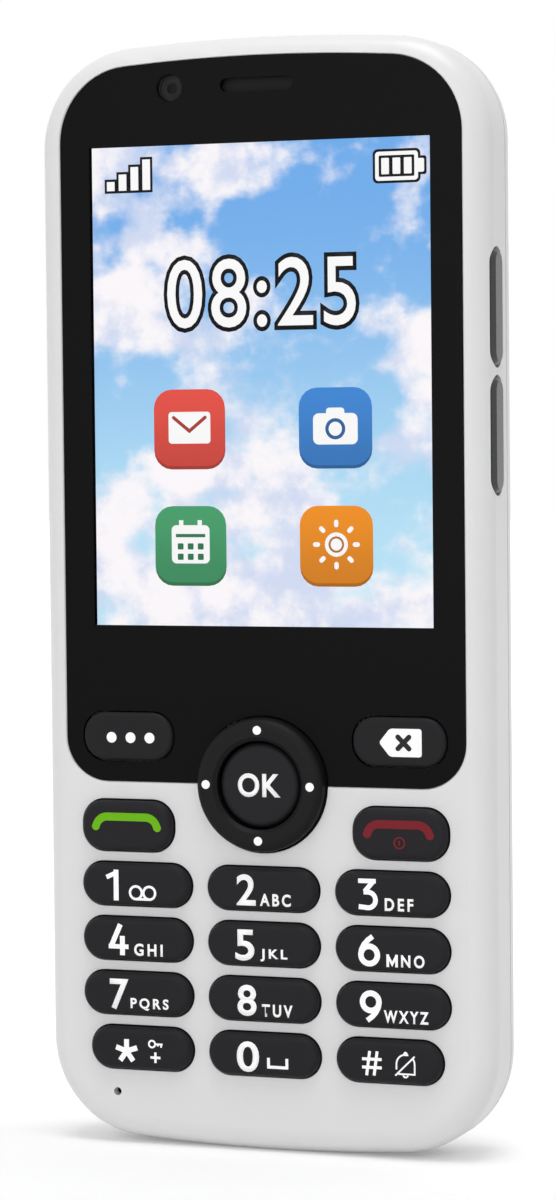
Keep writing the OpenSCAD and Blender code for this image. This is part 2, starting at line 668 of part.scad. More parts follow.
module lcd_panel() color([0.35, 0.6, 0.9]) at(0, lcd_z + lcd_h / 2)
  slab(lcd_w, lcd_h, lcd_d, backlight_d);

module backlight_unit() color([0.85, 0.87, 0.88]) at(0, lcd_z + lcd_h / 2)
  slab(lcd_w, lcd_h, backlight_d, cushion_d);

module display_cushion() color([0.12, 0.12, 0.12]) {
  low = lcd_z + 1;
  high = jack_foot - jack_floor - 2 * part_gap;
  at(0, (low + high) / 2) difference() {
    slab(lcd_w - 2, high - low, cushion_d, board_d);
    slab(lcd_w - 8, high - low - 6, cushion_d - over, board_d + over);
  }
}

module display_flex() color([0.75, 0.5, 0.15]) at(0, lcd_z) {
  translate([0, -flex_run / 2, 0])
    slab(flex_w, flex_run, backlight_d - part_gap, backlight_d - part_gap + flex_t);
  translate([0, -flex_run - flex_t / 2, 0])
    slab(flex_w, flex_t, backlight_d - part_gap, board_d - flex_plug_t);
  translate([0, -flex_run - bite, 0]) slab(flex_plug_w, flex_plug_h, board_d - flex_plug_t, board_d);
}

// A key with its soft cap, two retaining ears behind the front wall and a plunger over its snap dome
module key(w, h, r, proud) {
  soft_cap(w, h, r, -proud, ear_d + ear_t, key_edge_r);
  slab(w + 2 * ear_reach, h - ear_trim, ear_d, ear_d + ear_t);
  post(plunger_r, ear_d + ear_t - bite, plunger_end);
}
module number_key(c, r) color([0.15, 0.15, 0.16]) at(key_x(c, r), rows[r])
  key(key_len(c, r), key_h, key_h / 2, key_proud);
module window_key(s) color([0.17, 0.17, 0.18]) at(s * menu_x, menu_z) {
  soft_cap(menu_w, menu_h, menu_corner_r, -menu_proud, ear_d + ear_t, menu_edge_r);
  slab(menu_w + 2 * ear_reach, menu_h - ear_trim, ear_d, ear_d + ear_t);
  post(plunger_r, ear_d + ear_t - bite, plunger_end);
}
module phone_key(s) color([0.15, 0.15, 0.16]) at(s * call_x, call_z)
  key(call_w, call_h, call_corner_r, key_proud);

module menu_key() window_key(-1);
module clear_key() window_key(1);
module call_key() phone_key(-1);
module end_key() phone_key(1);
module key_1() number_key(0, 0);
module key_2() number_key(1, 0);
module key_3() number_key(2, 0);
module key_4() number_key(0, 1);
module key_5() number_key(1, 1);
module key_6() number_key(2, 1);
module key_7() number_key(0, 2);
module key_8() number_key(1, 2);
module key_9() number_key(2, 2);
module key_star() number_key(0, 3);
module key_0() number_key(1, 3);
module key_hash() number_key(2, 3);

// The ring rocks on a pad below it; its flange keeps it behind the front wall
module nav_ring() color([0.14, 0.14, 0.15]) at(0, nav_z) rotate_extrude() difference() {
  union() {
    edge_section(ring_hole_r, ring_r, -ring_proud, flange_d + flange_t, ring_edge_r, 0);
    translate([ring_hole_r, -flange_d - flange_t]) square([flange_r - ring_hole_r, flange_t]);
  }
  translate([ring_hole_r - 0.4, ring_proud]) rotate(-45) square([1.2, 2], center = true);
}

module nav_rocker_pad() color([0.3, 0.3, 0.3]) at(0, nav_z) difference() {
  post(flange_r - part_gap, pad_d, pad_d + pad_t);
  post(ok_flange_r + 2 * part_gap, pad_d - over, pad_d + pad_t + over);
}

module ok_key() color([0.14, 0.14, 0.15]) at(0, nav_z) {
  rotate_extrude() edge_section(0, ok_r, -ok_proud, pad_d, key_edge_r, 0);
  post(ok_flange_r, pad_d, pad_d + pad_t);
  post(plunger_r, pad_d + pad_t - bite, plunger_end);
}

// Places of the snap domes: under each key and under the four sides of the ring
key_domes = concat([for (c = [0:2]) for (r = [0:3]) [columns[c], rows[r]]],
  [for (s = [-1, 1]) [s * call_x, call_z]], [for (s = [-1, 1]) [s * menu_x, menu_z]]);
nav_domes = [[0, nav_z], [dot_r, nav_z], [-dot_r, nav_z], [0, nav_z + dot_r], [0, nav_z - dot_r]];

module keypad_mat() color([0.25, 0.25, 0.26]) difference() {
  at(0, (mat_bottom + mat_top) / 2)
    round_slab(mat_w, mat_top - mat_bottom, mat_corner_r, mat_d, board_d - dome_sheet_t);
  for (p = key_domes) at(p[0], p[1]) post(dome_r + mat_gap, mat_d - over, board_d);
  at(0, nav_z) post(flange_r + 2 * part_gap, mat_d - over, board_d);
}

module dome_sheet() color([0.8, 0.75, 0.5]) at(0, (mat_bottom + mat_top) / 2)
  slab(mat_w - 2 * mat_gap, mat_top - mat_bottom - 2 * mat_gap, board_d - dome_sheet_t, board_d);

module snap_domes() color([0.75, 0.75, 0.76]) for (p = concat(key_domes, nav_domes)) at(p[0], p[1])
  translate([0, 0, -(board_d - dome_sheet_t)]) cylinder(r1 = dome_r, r2 = 0.55 * dome_r, h = dome_h);

module side_key(s) color([0.3, 0.31, 0.33]) {
  at_side(side_key_d, side_key_z + s * side_key_pitch / 2)
    soft_cap(side_key_w, side_key_len, side_key_w / 2, -half_w - side_key_proud, -side_ear_x,
      0, side_key_bevel);
  at_side(side_ear_d, side_key_z + s * side_key_pitch / 2)
    slab(side_ear_w, side_key_len + 2 * side_ear_reach, -side_ear_x, -side_ear_x + side_ear_t);
}
module volume_up_key() side_key(1);
module volume_down_key() side_key(-1);

module side_switches() color([0.7, 0.7, 0.68]) for (s = [-1, 1])
  at_side(board_back, side_key_z + s * side_key_pitch / 2) {
    translate([0, -switch_len / 2, board_w / 2 - switch_w])
      cube([parts_h - 2 * part_gap, switch_len, switch_w]);
    translate([mat_gap, -switch_len / 5, board_w / 2 - bite])
      cube([parts_h - over, 2 * switch_len / 5, switch_tip - board_w / 2 + bite]);
  }

// The assistance button snaps through the chassis plate and works towards the front
module assistance_button() color([0.85, 0.86, 0.87]) at(0, assist_z) {
  rotate_extrude()
    edge_section(0, assist_r, seam_d + key_travel + bite, body_t - assist_sink, 0, assist_edge_r);
  post(assist_stem_r, plate_d - slack, seam_d + key_travel + 2 * bite);
  post(assist_hook_r, plate_d - slack - hook_t, plate_d - slack);
}

module assist_switch() color([0.7, 0.7, 0.68]) at(0, assist_z)
  slab(assist_switch_w, assist_switch_w, board_back, plate_d - slack - hook_t - key_travel - bite);

module main_board() color([0.1, 0.35, 0.2]) {
  low = side_wall + board_end_gap;
  high = body_h - side_wall - board_end_gap;
  difference() {
    at(0, (low + high) / 2) round_slab(board_w, high - low, board_corner_r, board_d, board_back);
    for (b = bosses) at(b[0], b[1]) post(boss_r + seat_gap, board_d - over, board_back + over);
    at(0, 0) slab(usb_bay_w, 2 * usb_bay_h, board_d - over, board_back + over);
    at(jack_x, body_h) slab(jack_bay_w, 2 * jack_bay_h, board_d - over, board_back + over);
  }
}

module shield_can_radio() color([0.72, 0.73, 0.74]) at(radio_can_x, radio_can_z)
  round_slab(radio_can_w, radio_can_h, can_corner_r, board_back, plate_d - part_gap);

module shield_can_processor() color([0.72, 0.73, 0.74]) at(processor_can_x, processor_can_z)
  round_slab(processor_can_w, processor_can_h, can_corner_r, board_back, plate_d - part_gap);

module earpiece() color([0.2, 0.2, 0.2]) at(0, top_row)
  round_slab(earpiece_w, earpiece_h, earpiece_corner_r, front_wall + slack, board_d);

module earpiece_mesh() color([0.08, 0.08, 0.08]) at(0, top_row)
  pill_slab(ear_slot_w + bite, ear_slot_h + bite, recess_d, front_wall);

module front_camera() color([0.06, 0.06, 0.07]) at(-front_cam_x, top_row) {
  post(front_cam_r, recess_d + slack, front_wall + through);
  slab(front_cam_w, front_cam_w, front_wall + slack, board_d);
}

module microphone() color([0.6, 0.6, 0.5]) at(-mic_x, mic_z) {
  difference() {
    post(mic_boot_r, front_wall + slack, board_d - mic_t + bite);
    post(mic_r, front_wall - over, board_d - mic_t - part_gap);
  }
  slab(2 * mic_boot_r + bite, 2 * mic_boot_r + bite, board_d - mic_t, board_d);
}

module rear_camera() color([0.08, 0.08, 0.09]) at(0, lens_z) {
  slab(camera_w, camera_w, board_back, seam_d);
  post(lens_r - lens_rim, seam_d - bite, cover_in - lens_flange_t - part_gap);
}

// The lens surround is fixed in the cover; its flange lies against the cover's inner face
module rear_camera_lens() color([0.2, 0.2, 0.21]) at(0, lens_z) {
  post(lens_r + lens_flange_w, cover_in - lens_flange_t, cover_in);
  post(lens_r, cover_in - bite, body_t - lens_sink);
}

module flash_led() color([0.95, 0.95, 0.85]) at(flash_x, lens_z) {
  slab(1.6 * flash_r, 1.6 * flash_r, board_back, board_back + flash_base_t);
  post(flash_r, board_back + flash_base_t - bite, body_t - bite);
}

module loudspeaker() color([0.12, 0.12, 0.13]) at(0, speaker_z)
  round_slab(speaker_w, speaker_h, speaker_corner_r, seam_d, cover_in - 2 * part_gap);

module speaker_mesh() color([0.3, 0.3, 0.3]) at(0, speaker_z)
  round_slab(speaker_w - 3, speaker_h - 2.4, mesh_corner_r, cover_in - 2 * part_gap, cover_in - part_gap);

module vibration_motor() color([0.75, 0.75, 0.76]) at(motor_x, motor_z)
  post(motor_r, board_back, plate_d - bite);

module battery() color([0.2, 0.22, 0.25]) at(0, bay_mid)
  round_slab(battery_w, battery_h, battery_corner_r, seam_d, cover_in - part_gap - slack);

module battery_contacts() color([0.15, 0.15, 0.15]) at(0, contact_z) {
  slab(contact_w, contact_h, board_back, seam_d + contact_t);
  for (i = [0:3]) translate([(i - 1.5) * finger_pitch, -contact_h / 2 - 0.4, 0])
    slab(finger_w, 1.2, seam_d + 0.3 * contact_t, seam_d + 0.7 * contact_t);
}

module sim_holder() color([0.78, 0.78, 0.76]) at(sim_x, sim_z)
  slab(sim_w, sim_h, board_back, plate_d - part_gap);

// The charging socket: a thin shell open at the bottom, with a tongue in the middle
module usb_socket() color([0.7, 0.7, 0.72]) translate([0, usb_d - front_lead, usb_sink]) {
  difference() {
    linear_extrude(usb_len) pill(usb_w + 2 * usb_shell, usb_h + 2 * usb_shell);
    translate([0, 0, -over]) linear_extrude(usb_len - usb_floor + over) pill(usb_w, usb_h);
  }
  translate([-usb_tongue_w / 2, -usb_tongue_t / 2, usb_tongue_sink])
    cube([usb_tongue_w, usb_tongue_t, usb_len - usb_floor / 2 - usb_tongue_sink]);
}

module headset_jack() color([0.1, 0.1, 0.1]) translate([jack_x, jack_d - front_lead, 0]) difference() {
  union() {
    translate([0, 0, jack_foot - jack_floor])
      cylinder(r = jack_r + jack_wall, h = jack_top - jack_foot + jack_floor);
    translate([0, 0, jack_foot]) cylinder(r = jack_r + jack_neck_t, h = jack_len);
  }
  translate([0, 0, jack_foot]) cylinder(r = jack_r, h = jack_len + over);
}

module antenna() color([0.75, 0.5, 0.15]) {
  at(0, side_wall + antenna_rise) slab(2 * antenna_low, antenna_h, seam_d, seam_d + antenna_t);
  at((antenna_end - antenna_high) / 2, body_h - side_wall - antenna_rise)
    slab(antenna_high + antenna_end, antenna_h, seam_d, seam_d + antenna_t);
}

front_housing();
rear_chassis();
rear_cover();
front_window();
window_adhesive();
housing_screws();
lcd_panel();
backlight_unit();
display_cushion();
display_flex();
menu_key();
clear_key();
nav_ring();
nav_rocker_pad();
ok_key();
call_key();
end_key();
key_1();
key_2();
key_3();
key_4();
key_5();
key_6();
key_7();
key_8();
key_9();
key_star();
key_0();
key_hash();
keypad_mat();
dome_sheet();
snap_domes();
volume_up_key();
volume_down_key();
side_switches();
assistance_button();
assist_switch();
main_board();
shield_can_radio();
shield_can_processor();
earpiece();
earpiece_mesh();
front_camera();
microphone();
rear_camera();
rear_camera_lens();
flash_led();
loudspeaker();
speaker_mesh();
vibration_motor();
battery();
battery_contacts();
sim_holder();
usb_socket();
headset_jack();
antenna();
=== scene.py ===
# %% [markdown]
# # A large-key bar phone
# The frame holds every solid of the phone at its real size. This lesson gives those solids their finishes,
# and models what is printed, lit or too fine for the frame: key legends, symbols, display content and lenses.

# %% Load the frame
import json
import math

import bpy
from mathutils import Matrix, Vector


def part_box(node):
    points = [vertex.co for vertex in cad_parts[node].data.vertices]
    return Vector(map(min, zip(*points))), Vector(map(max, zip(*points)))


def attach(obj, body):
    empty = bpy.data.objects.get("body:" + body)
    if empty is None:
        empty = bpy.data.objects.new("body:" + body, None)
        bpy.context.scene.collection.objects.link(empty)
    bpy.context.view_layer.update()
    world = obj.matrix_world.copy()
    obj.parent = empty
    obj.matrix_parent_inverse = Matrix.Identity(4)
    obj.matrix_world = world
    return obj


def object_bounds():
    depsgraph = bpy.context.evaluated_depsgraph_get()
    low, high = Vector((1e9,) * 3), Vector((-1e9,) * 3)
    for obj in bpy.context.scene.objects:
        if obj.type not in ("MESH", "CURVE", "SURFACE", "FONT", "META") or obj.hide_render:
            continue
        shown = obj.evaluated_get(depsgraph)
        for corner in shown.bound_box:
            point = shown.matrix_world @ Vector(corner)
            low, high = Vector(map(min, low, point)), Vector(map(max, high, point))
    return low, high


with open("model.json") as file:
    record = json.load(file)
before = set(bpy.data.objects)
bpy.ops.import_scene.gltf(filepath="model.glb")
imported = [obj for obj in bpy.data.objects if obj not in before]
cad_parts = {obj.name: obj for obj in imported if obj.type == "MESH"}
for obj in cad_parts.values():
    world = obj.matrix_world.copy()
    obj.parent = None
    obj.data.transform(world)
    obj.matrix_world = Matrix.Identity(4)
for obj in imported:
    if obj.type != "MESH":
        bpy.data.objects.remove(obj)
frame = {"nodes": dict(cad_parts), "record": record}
cad_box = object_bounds()
nodes = frame["nodes"]
MM = 0.001

# %% [markdown]
# ## Camera
# A phone is photographed for a catalogue with a long lens, a little from its right side and from just above
# the middle. A long lens keeps the sides nearly parallel. The camera's axes are written as vectors, because
# three directions say exactly how it stands, without the order of angles that a rotation needs.

# %% Camera
CAMERA_PLACE = Vector((0.1554, -0.4117, 0.0862))
CAMERA_RIGHT = Vector((0.93585, 0.35227, -0.00978))
CAMERA_UP = Vector((-0.00689, 0.04601, 0.99892))
CAMERA_LENS = 109.67


def camera_matrix():
    """The camera's place and its three square axes."""
    right = CAMERA_RIGHT.normalized()
    back = right.cross(CAMERA_UP).normalized()
    up = back.cross(right)
    turn = Matrix((right, up, back)).transposed()
    return Matrix.Translation(CAMERA_PLACE) @ turn.to_4x4()


bpy.ops.object.select_all(action="DESELECT")
bpy.ops.object.camera_add()
camera = bpy.context.active_object
camera.data.lens = CAMERA_LENS
camera.data.sensor_width = 36
camera.data.clip_start = 0.01
camera.matrix_world = camera_matrix()
bpy.context.scene.camera = camera
bpy.context.scene.view_settings.view_transform = "Standard"
print("camera at", tuple(round(c, 3) for c in camera.location))

# %% [markdown]
# ## Shader arithmetic
# A finish is easiest to read as a formula. The first class wraps a shader socket, so that + - * / and
# comparisons add Math nodes; the second holds a material and adds every other node through one method.

# %% Socket arithmetic and finishes
class Shade:
    """A shader socket that takes part in Python arithmetic: each operator adds one Math node."""

    def __init__(self, finish, socket):
        self.finish = finish
        self.socket = socket

    def math(self, operation, *inputs):
        return self.finish.node("ShaderNodeMath", {"operation": operation}, dict(enumerate(inputs)))

    def __add__(self, other):
        return self.math("ADD", self, other)

    def __radd__(self, other):
        return self.math("ADD", other, self)

    def __sub__(self, other):
        return self.math("SUBTRACT", self, other)

    def __rsub__(self, other):
        return self.math("SUBTRACT", other, self)

    def __mul__(self, other):
        return self.math("MULTIPLY", self, other)

    def __truediv__(self, other):
        return self.math("DIVIDE", self, other)

    def __lt__(self, other):
        return self.math("LESS_THAN", self, other)

    def __gt__(self, other):
        return self.math("GREATER_THAN", self, other)

    def __abs__(self):
        return self.math("ABSOLUTE", self)

    def sqrt(self):
        return self.math("SQRT", self)

    def fraction(self):
        return self.math("FRACT", self)

    def between(self, low, high):
        """0 below low, 1 above high, and a smooth step from one to the other."""
        inputs = {"Value": self, "From Min": low, "From Max": high}
        return self.finish.node("ShaderNodeMapRange", {"interpolation_type": "SMOOTHSTEP"}, inputs)


class Graph:
    """A node tree with one shader whose sockets take values or links; node() adds every other node."""

    def __init__(self, tree, shader_name):
        self.tree = tree
        self.shader = tree.nodes[shader_name]

    def feed(self, socket, value):
        if isinstance(value, Shade):
            self.tree.links.new(value.socket, socket)
        else:
            socket.default_value = value

    def set(self, socket_name, value):
        self.feed(self.shader.inputs[socket_name], value)

    def node(self, kind, settings=None, inputs=None, output=0):
        made = self.tree.nodes.new(kind)
        for key, value in (settings or {}).items():
            setattr(made, key, value)
        for key, value in (inputs or {}).items():
            self.feed(made.inputs[key], value)
        return Shade(self, made.outputs[output])

    def mix(self, share, first, second):
        """A colour between two colours."""
        inputs = {0: share, 6: first, 7: second}
        return self.node("ShaderNodeMix", {"data_type": "RGBA"}, inputs, output=2)

    def seen_rays(self):
        """1 for the camera's own rays and for mirrored and refracted ones, 0 for all other light."""
        camera_ray, glossy_ray, clear_ray = [
            self.node("ShaderNodeLightPath", output=kind)
            for kind in ("Is Camera Ray", "Is Glossy Ray", "Is Transmission Ray")]
        mirrored = camera_ray.math("MAXIMUM", glossy_ray, clear_ray)
        return camera_ray.math("MAXIMUM", camera_ray, mirrored)


class Finish(Graph):
    """A procedural material. Its constants sit on the shader's own sockets."""

    def __init__(self, name, colour, roughness, **constants):
        self.material = bpy.data.materials.new(name)
        self.material.use_nodes = True
        super().__init__(self.material.node_tree, "Principled BSDF")
        self.colour = (*colour, 1)
        self.set("Base Color", self.colour)
        self.set("Roughness", roughness)
        for key, value in constants.items():
            self.set(key.replace("_", " ").title().replace("Ior", "IOR"), value)

    def place(self):
        """Object coordinates, in metres."""
        return self.node("ShaderNodeTexCoord", output="Object")

    def axes(self):
        """The three Object coordinates, in millimetres."""
        made = self.node("ShaderNodeSeparateXYZ", inputs={"Vector": self.place()})
        outputs = made.socket.node.outputs
        return [Shade(self, outputs[i]) * 1000 for i in range(3)]

    def noise(self, grain_mm, detail=2, roughness=0.5, stretch=(1, 1, 1)):
        """Soft noise whose features are about grain_mm across, stretched along an axis if asked."""
        scale = tuple(1 / (grain_mm * MM * s) for s in stretch)
        spread = self.node("ShaderNodeMapping", inputs={"Vector": self.place(), "Scale": scale})
        inputs = {"Vector": spread, "Scale": 1, "Detail": detail, "Roughness": roughness}
        return self.node("ShaderNodeTexNoise", inputs=inputs)

    def bump(self, height, depth_mm, strength=1.0):
        inputs = {"Height": height, "Distance": depth_mm * MM, "Strength": strength}
        self.set("Normal", self.node("ShaderNodeBump", inputs=inputs))


def srgb(red, green, blue):
    """A colour read off a screen, 0 to 255, as linear light."""
    shares = [c / 255 for c in (red, green, blue)]
    return tuple(s / 12.92 if s <= 0.04045 else ((s + 0.055) / 1.055) ** 2.4 for s in shares)


def opaque(colour):
    return (*colour, 1)


print("shader classes ready")

# %% [markdown]
# ## Floor
# The phone stands on a white sweep. The floor is a plain pale surface, which takes the phone's shadow. The
# panels light it less and less further off, and the phone keeps some of their light from the floor behind it.
# So there the floor also has a light of its own, seen by the camera and in reflections alone, and it meets
# the white background without a line.

# %% Floor
FLOOR_SIZE = 6
FLOOR_WHITE = (0.9, 0.9, 0.9)
# Share of the floor's own light, and the distances in millimetres over which it grows
GLOW_NEAR = 0.17
GLOW_FAR = 0.6
GLOW_BEHIND = 0.25
FAR_FADE = (60, 1000)
BEHIND_FADE = (-6, 20)

bpy.ops.object.select_all(action="DESELECT")
bpy.ops.mesh.primitive_plane_add(size=FLOOR_SIZE, location=(0, 0, cad_box[0][2]))
floor = bpy.context.active_object
floor.name = "floor"
floor_finish = Finish("floor_white", FLOOR_WHITE, 0.9, specular_ior_level=0, emission_strength=1)
across, along, _ = floor_finish.axes()
far = (across * across + along * along).sqrt().between(*FAR_FADE)
behind = along.between(*BEHIND_FADE)
glow = floor_finish.seen_rays() * (GLOW_NEAR + far * (GLOW_FAR - GLOW_NEAR) + behind * GLOW_BEHIND)
floor_finish.set("Emission Color", floor_finish.mix(glow, (0, 0, 0, 1), (1, 1, 1, 1)))
floor.data.materials.append(floor_finish.material)
print("floor", FLOOR_SIZE, "m wide")

# %% [markdown]
# ## Room and panels
# The room is one even soft light, and the background behind the phone is plain white. A panel in front lights
# the face. A second one, high above and a little in front, lights the floor, whose light comes back up onto
# the sides, and it leaves only a narrow shadow along the foot. Large panels make soft edges, as softboxes do.

# %% Room and panels
ROOM_STRENGTH = 0.5

world = bpy.data.worlds.new("room")
bpy.context.scene.world = world
world.use_nodes = True
room = Graph(world.node_tree, "Background")
room.set("Color", (1, 1, 1, 1))
room.set("Strength", ROOM_STRENGTH + room.seen_rays() * (1 - ROOM_STRENGTH))


def panel_light(name, place, target, size, power):
    """A soft square panel that looks at a point of the phone."""
    bpy.ops.object.light_add(type="AREA", location=place)
    lamp = bpy.context.active_object
    lamp.name = name
    lamp.data.size = size
    lamp.data.energy = power
    lamp.rotation_euler = (Vector(target) - Vector(place)).to_track_quat("-Z", "Y").to_euler()
    return lamp


MIDDLE = (0, 0, 0.07)
panel_light("front_panel", (-0.1, -1.2, 0.45), MIDDLE, 0.9, 3.2)
panel_light("top_panel", (0.1, -0.22, 1.2), MIDDLE, 0.7, 6.3)
print("room strength", ROOM_STRENGTH)

# %% [markdown]
# ## Housing plastic
# The shell and the rear cover are moulded in white plastic. The mould is spark-eroded, which leaves a very
# fine satin grain. Two scales of noise make it: a slow drift in colour and gloss, and a grain of a quarter
# of a millimetre as bump. Bump is enough, because the grain is far finer than any edge of the shell.

# %% Moulded plastics
def moulded(name, colour, roughness, grain_mm=0.25, grain_depth=0.004, drift=0.03, **constants):
    """Moulded plastic: a slow drift of colour and gloss, and a fine grain from the mould."""
    finish = Finish(name, colour, roughness, **constants)
    slow = finish.noise(18, detail=3)
    darker = opaque(tuple(c * (1 - drift) for c in colour))
    finish.set("Base Color", finish.mix(slow, finish.colour, darker))
    grain = finish.noise(grain_mm, detail=2)
    finish.set("Roughness", roughness - 0.05 + slow * 0.06 + grain * 0.04)
    finish.bump(grain, grain_depth)
    return finish


housing_finish = moulded("housing_white", (0.8, 0.8, 0.805), 0.34)
button_finish = moulded("button_white", (0.78, 0.78, 0.785), 0.4)
chassis_finish = moulded("chassis_black", srgb(34, 34, 36), 0.5, grain_mm=0.4, drift=0.15)
print("moulded plastics ready")

# %% [markdown]
# ## Key rubber and side keys
# The keys have a soft matte coat, which scatters light and shows a faint even speckle. The two keys in the
# window are a shade lighter, so that they stand out from it, and the ring is a shade darker. The side keys
# are dark lacquer with fine flakes in it: their front bevel stays dark, and the flat face, seen at a low
# angle, mirrors the bright room.

# %% Key finishes
key_finish = moulded("key_charcoal", srgb(32, 30, 33), 0.5, grain_mm=0.16, drift=0.12,
                     specular_ior_level=0.14)
ring_finish = moulded("ring_black", srgb(20, 19, 21), 0.5, grain_mm=0.16, drift=0.12,
                      specular_ior_level=0.14)
window_key_finish = moulded("window_key_black", srgb(31, 31, 33), 0.46, grain_mm=0.16, drift=0.1,
                            specular_ior_level=0.12)


def flaked_paint(name, colour, roughness):
    """Dark lacquer with small flakes that differ a little in brightness."""
    finish = Finish(name, colour, roughness)
    flakes = finish.noise(0.12, detail=1)
    paler = opaque(tuple(min(1, c * 1.25) for c in colour))
    finish.set("Base Color", finish.mix(flakes, finish.colour, paler))
    finish.set("Roughness", roughness + flakes * 0.08)
    finish.bump(flakes, 0.001)
    return finish


side_key_finish = flaked_paint("side_key_grey", srgb(44, 45, 47), 0.22)
print("key finishes ready")

# %% [markdown]
# ## Window
# The window is one clear plate, painted black on its back except over the picture and the front camera. Here
# the plate is black with a mask in its Alpha: the mask is worked out from the display's own size, so it lies
# over the lit area exactly. The plate is hard-coated against glare, so its reflection is kept weak.

# %% Window finish
glass_low, glass_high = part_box("lcd_panel")
GLASS_BORDER = 1.5
GLASS_FOOT = 3.0
lit_half = glass_high.x / MM - GLASS_BORDER
lit_low = glass_low.z / MM + GLASS_FOOT
lit_high = glass_high.z / MM - GLASS_BORDER
barrel_low, barrel_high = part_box("front_camera")
eye_x = (barrel_low.x + barrel_high.x) / 2 / MM
eye_z = (barrel_low.z + barrel_high.z) / 2 / MM
EYE_R = 1.62
CLEAR_ALPHA = 0.03
SMOKED_ALPHA = 0.25


def window_paint():
    finish = Finish("window_black", srgb(17, 17, 17), 0.22, specular_ior_level=0.038)
    x, _, z = finish.axes()
    lit = (abs(x) < lit_half) * (z > lit_low) * (z < lit_high)
    across = x - eye_x
    along = z - eye_z
    eye = (across * across + along * along).sqrt() < EYE_R
    finish.set("Alpha", 1 - lit * (1 - CLEAR_ALPHA) - eye * (1 - SMOKED_ALPHA))
    smear = finish.noise(9, detail=4, roughness=0.6)
    finish.set("Roughness", 0.18 + smear * 0.08)
    return finish


window_finish = window_paint()
print("lit area", round(2 * lit_half, 1), "by", round(lit_high - lit_low, 1), "mm")

# %% [markdown]
# ## Display picture
# The display shows a plain sky as its background. The picture is worked out in the shader: a blue ramp from
# top to bottom, and three sizes of noise added together, cut by a soft threshold, which is how drifting
# clouds are often made. It is emission, because a display makes its own light.

# %% Display picture
DARK_GLASS = (0.01, 0.01, 0.012)


def display_picture():
    finish = Finish("display_picture", DARK_GLASS, 0.3, specular_ior_level=0.1, emission_strength=1)
    x, _, z = finish.axes()
    height = (z - lit_low) / (lit_high - lit_low)
    sky = finish.mix(height.between(0.05, 0.95), opaque(srgb(186, 230, 250)), opaque(srgb(112, 174, 238)))
    mass = finish.noise(17, detail=7, roughness=0.52, stretch=(1.35, 1, 1))
    puffs = finish.noise(5.5, detail=6, roughness=0.5)
    bank = height.between(0.5, 0.0) * 0.17 + height.between(0.68, 1.0) * 0.13
    drift = (x / lit_half) * (height - 0.5) * 0.1
    cover = (mass + (puffs - 0.5) * 0.28 + bank - drift).between(0.5, 0.62)
    shade = finish.noise(7, detail=5, roughness=0.55)
    cloud = finish.mix(shade.between(0.36, 0.56), opaque(srgb(212, 222, 246)), opaque(srgb(255, 251, 254)))
    finish.set("Emission Color", finish.mix(cover, sky, cloud))
    return finish


display_finish = display_picture()
print("display picture ready")

# %% [markdown]
# ## Metals, board and other inner finishes
# Under the cover lie rolled steel, tinned shields, a lacquered board and a foil-wrapped battery. Rolled metal
# has fine lines along one direction, so its noise is stretched. The board shows tracks under its lacquer: a
# brick pattern seen from the back gives their right-angled runs.

# %% Inner finishes
def rolled(name, colour, roughness, along=(12, 1, 1)):
    """Rolled or brushed metal, with fine lines along one axis."""
    finish = Finish(name, colour, roughness, metallic=1.0)
    lines = finish.noise(0.15, detail=3, stretch=along)
    duller = opaque(tuple(c * 0.82 for c in colour))
    finish.set("Base Color", finish.mix(lines, finish.colour, duller))
    finish.set("Roughness", roughness - 0.06 + lines * 0.16)
    finish.bump(lines, 0.002)
    return finish


def lacquered_board(name):
    finish = Finish(name, srgb(18, 74, 44), 0.35, coat_weight=0.3)
    x, _, z = finish.axes()
    flat = finish.node("ShaderNodeCombineXYZ", inputs={"X": x, "Y": z, "Z": 0.0})
    pattern = {"Vector": flat, "Scale": 0.5, "Mortar Size": 0.05, "Brick Width": 2.4, "Row Height": 0.6}
    tracks = finish.node("ShaderNodeTexBrick", inputs=pattern, output="Fac")
    finish.set("Base Color", finish.mix(tracks, finish.colour, opaque(srgb(46, 116, 72))))
    finish.bump(tracks, 0.02)
    return finish


def woven(name, colour, pitch_mm, roughness=0.55):
    """Fine cloth or metal mesh: two crossed rows of threads; the openings are painted near black as shade."""
    finish = Finish(name, colour, roughness, specular_ior_level=0.15)
    x, _, z = finish.axes()
    warp = abs((x / pitch_mm).fraction() - 0.5)
    weft = abs((z / pitch_mm).fraction() - 0.5)
    shaded_holes = (warp < 0.26) * (weft < 0.26)
    # The openings are painted near black: painted shade of the dark space behind the mesh.
    finish.set("Base Color", finish.mix(shaded_holes, finish.colour, (0.002, 0.002, 0.002, 1)))
    finish.bump(1 - shaded_holes, 0.03)
    return finish


inner_finishes = {
    "steel": rolled("steel", srgb(196, 197, 200), 0.3),
    "tin": rolled("tin", srgb(206, 207, 205), 0.34, along=(1, 1, 9)),
    "brass": rolled("brass", srgb(212, 172, 92), 0.32),
    "board_green": lacquered_board("board_green"),
    "mesh_black": woven("mesh_black", srgb(27, 27, 28), 0.3),
    "foam_black": moulded("foam_black", srgb(28, 28, 29), 0.9, grain_mm=0.5, grain_depth=0.05, drift=0.3),
    "backlight_white": moulded("backlight_white", srgb(232, 234, 236), 0.5),
    "flex_amber": moulded("flex_amber", srgb(190, 120, 40), 0.35, drift=0.2),
    "mat_grey": moulded("mat_grey", srgb(120, 122, 124), 0.6, drift=0.1),
    "film_clear": moulded("film_clear", srgb(196, 202, 204), 0.3, drift=0.08),
    "switch_grey": moulded("switch_grey", srgb(58, 59, 62), 0.5, drift=0.1),
    "battery_grey": moulded("battery_grey", srgb(92, 95, 99), 0.42, grain_mm=0.6, drift=0.12),
}
print(len(inner_finishes), "inner finishes ready")

# %% [markdown]
# ## Lenses
# A lens surround is a smoked disc with a fine turned face; the flash has a moulded lens with ring-shaped
# steps. Both come from the distance to the lens's own axis, so the rings are centred on the piece.

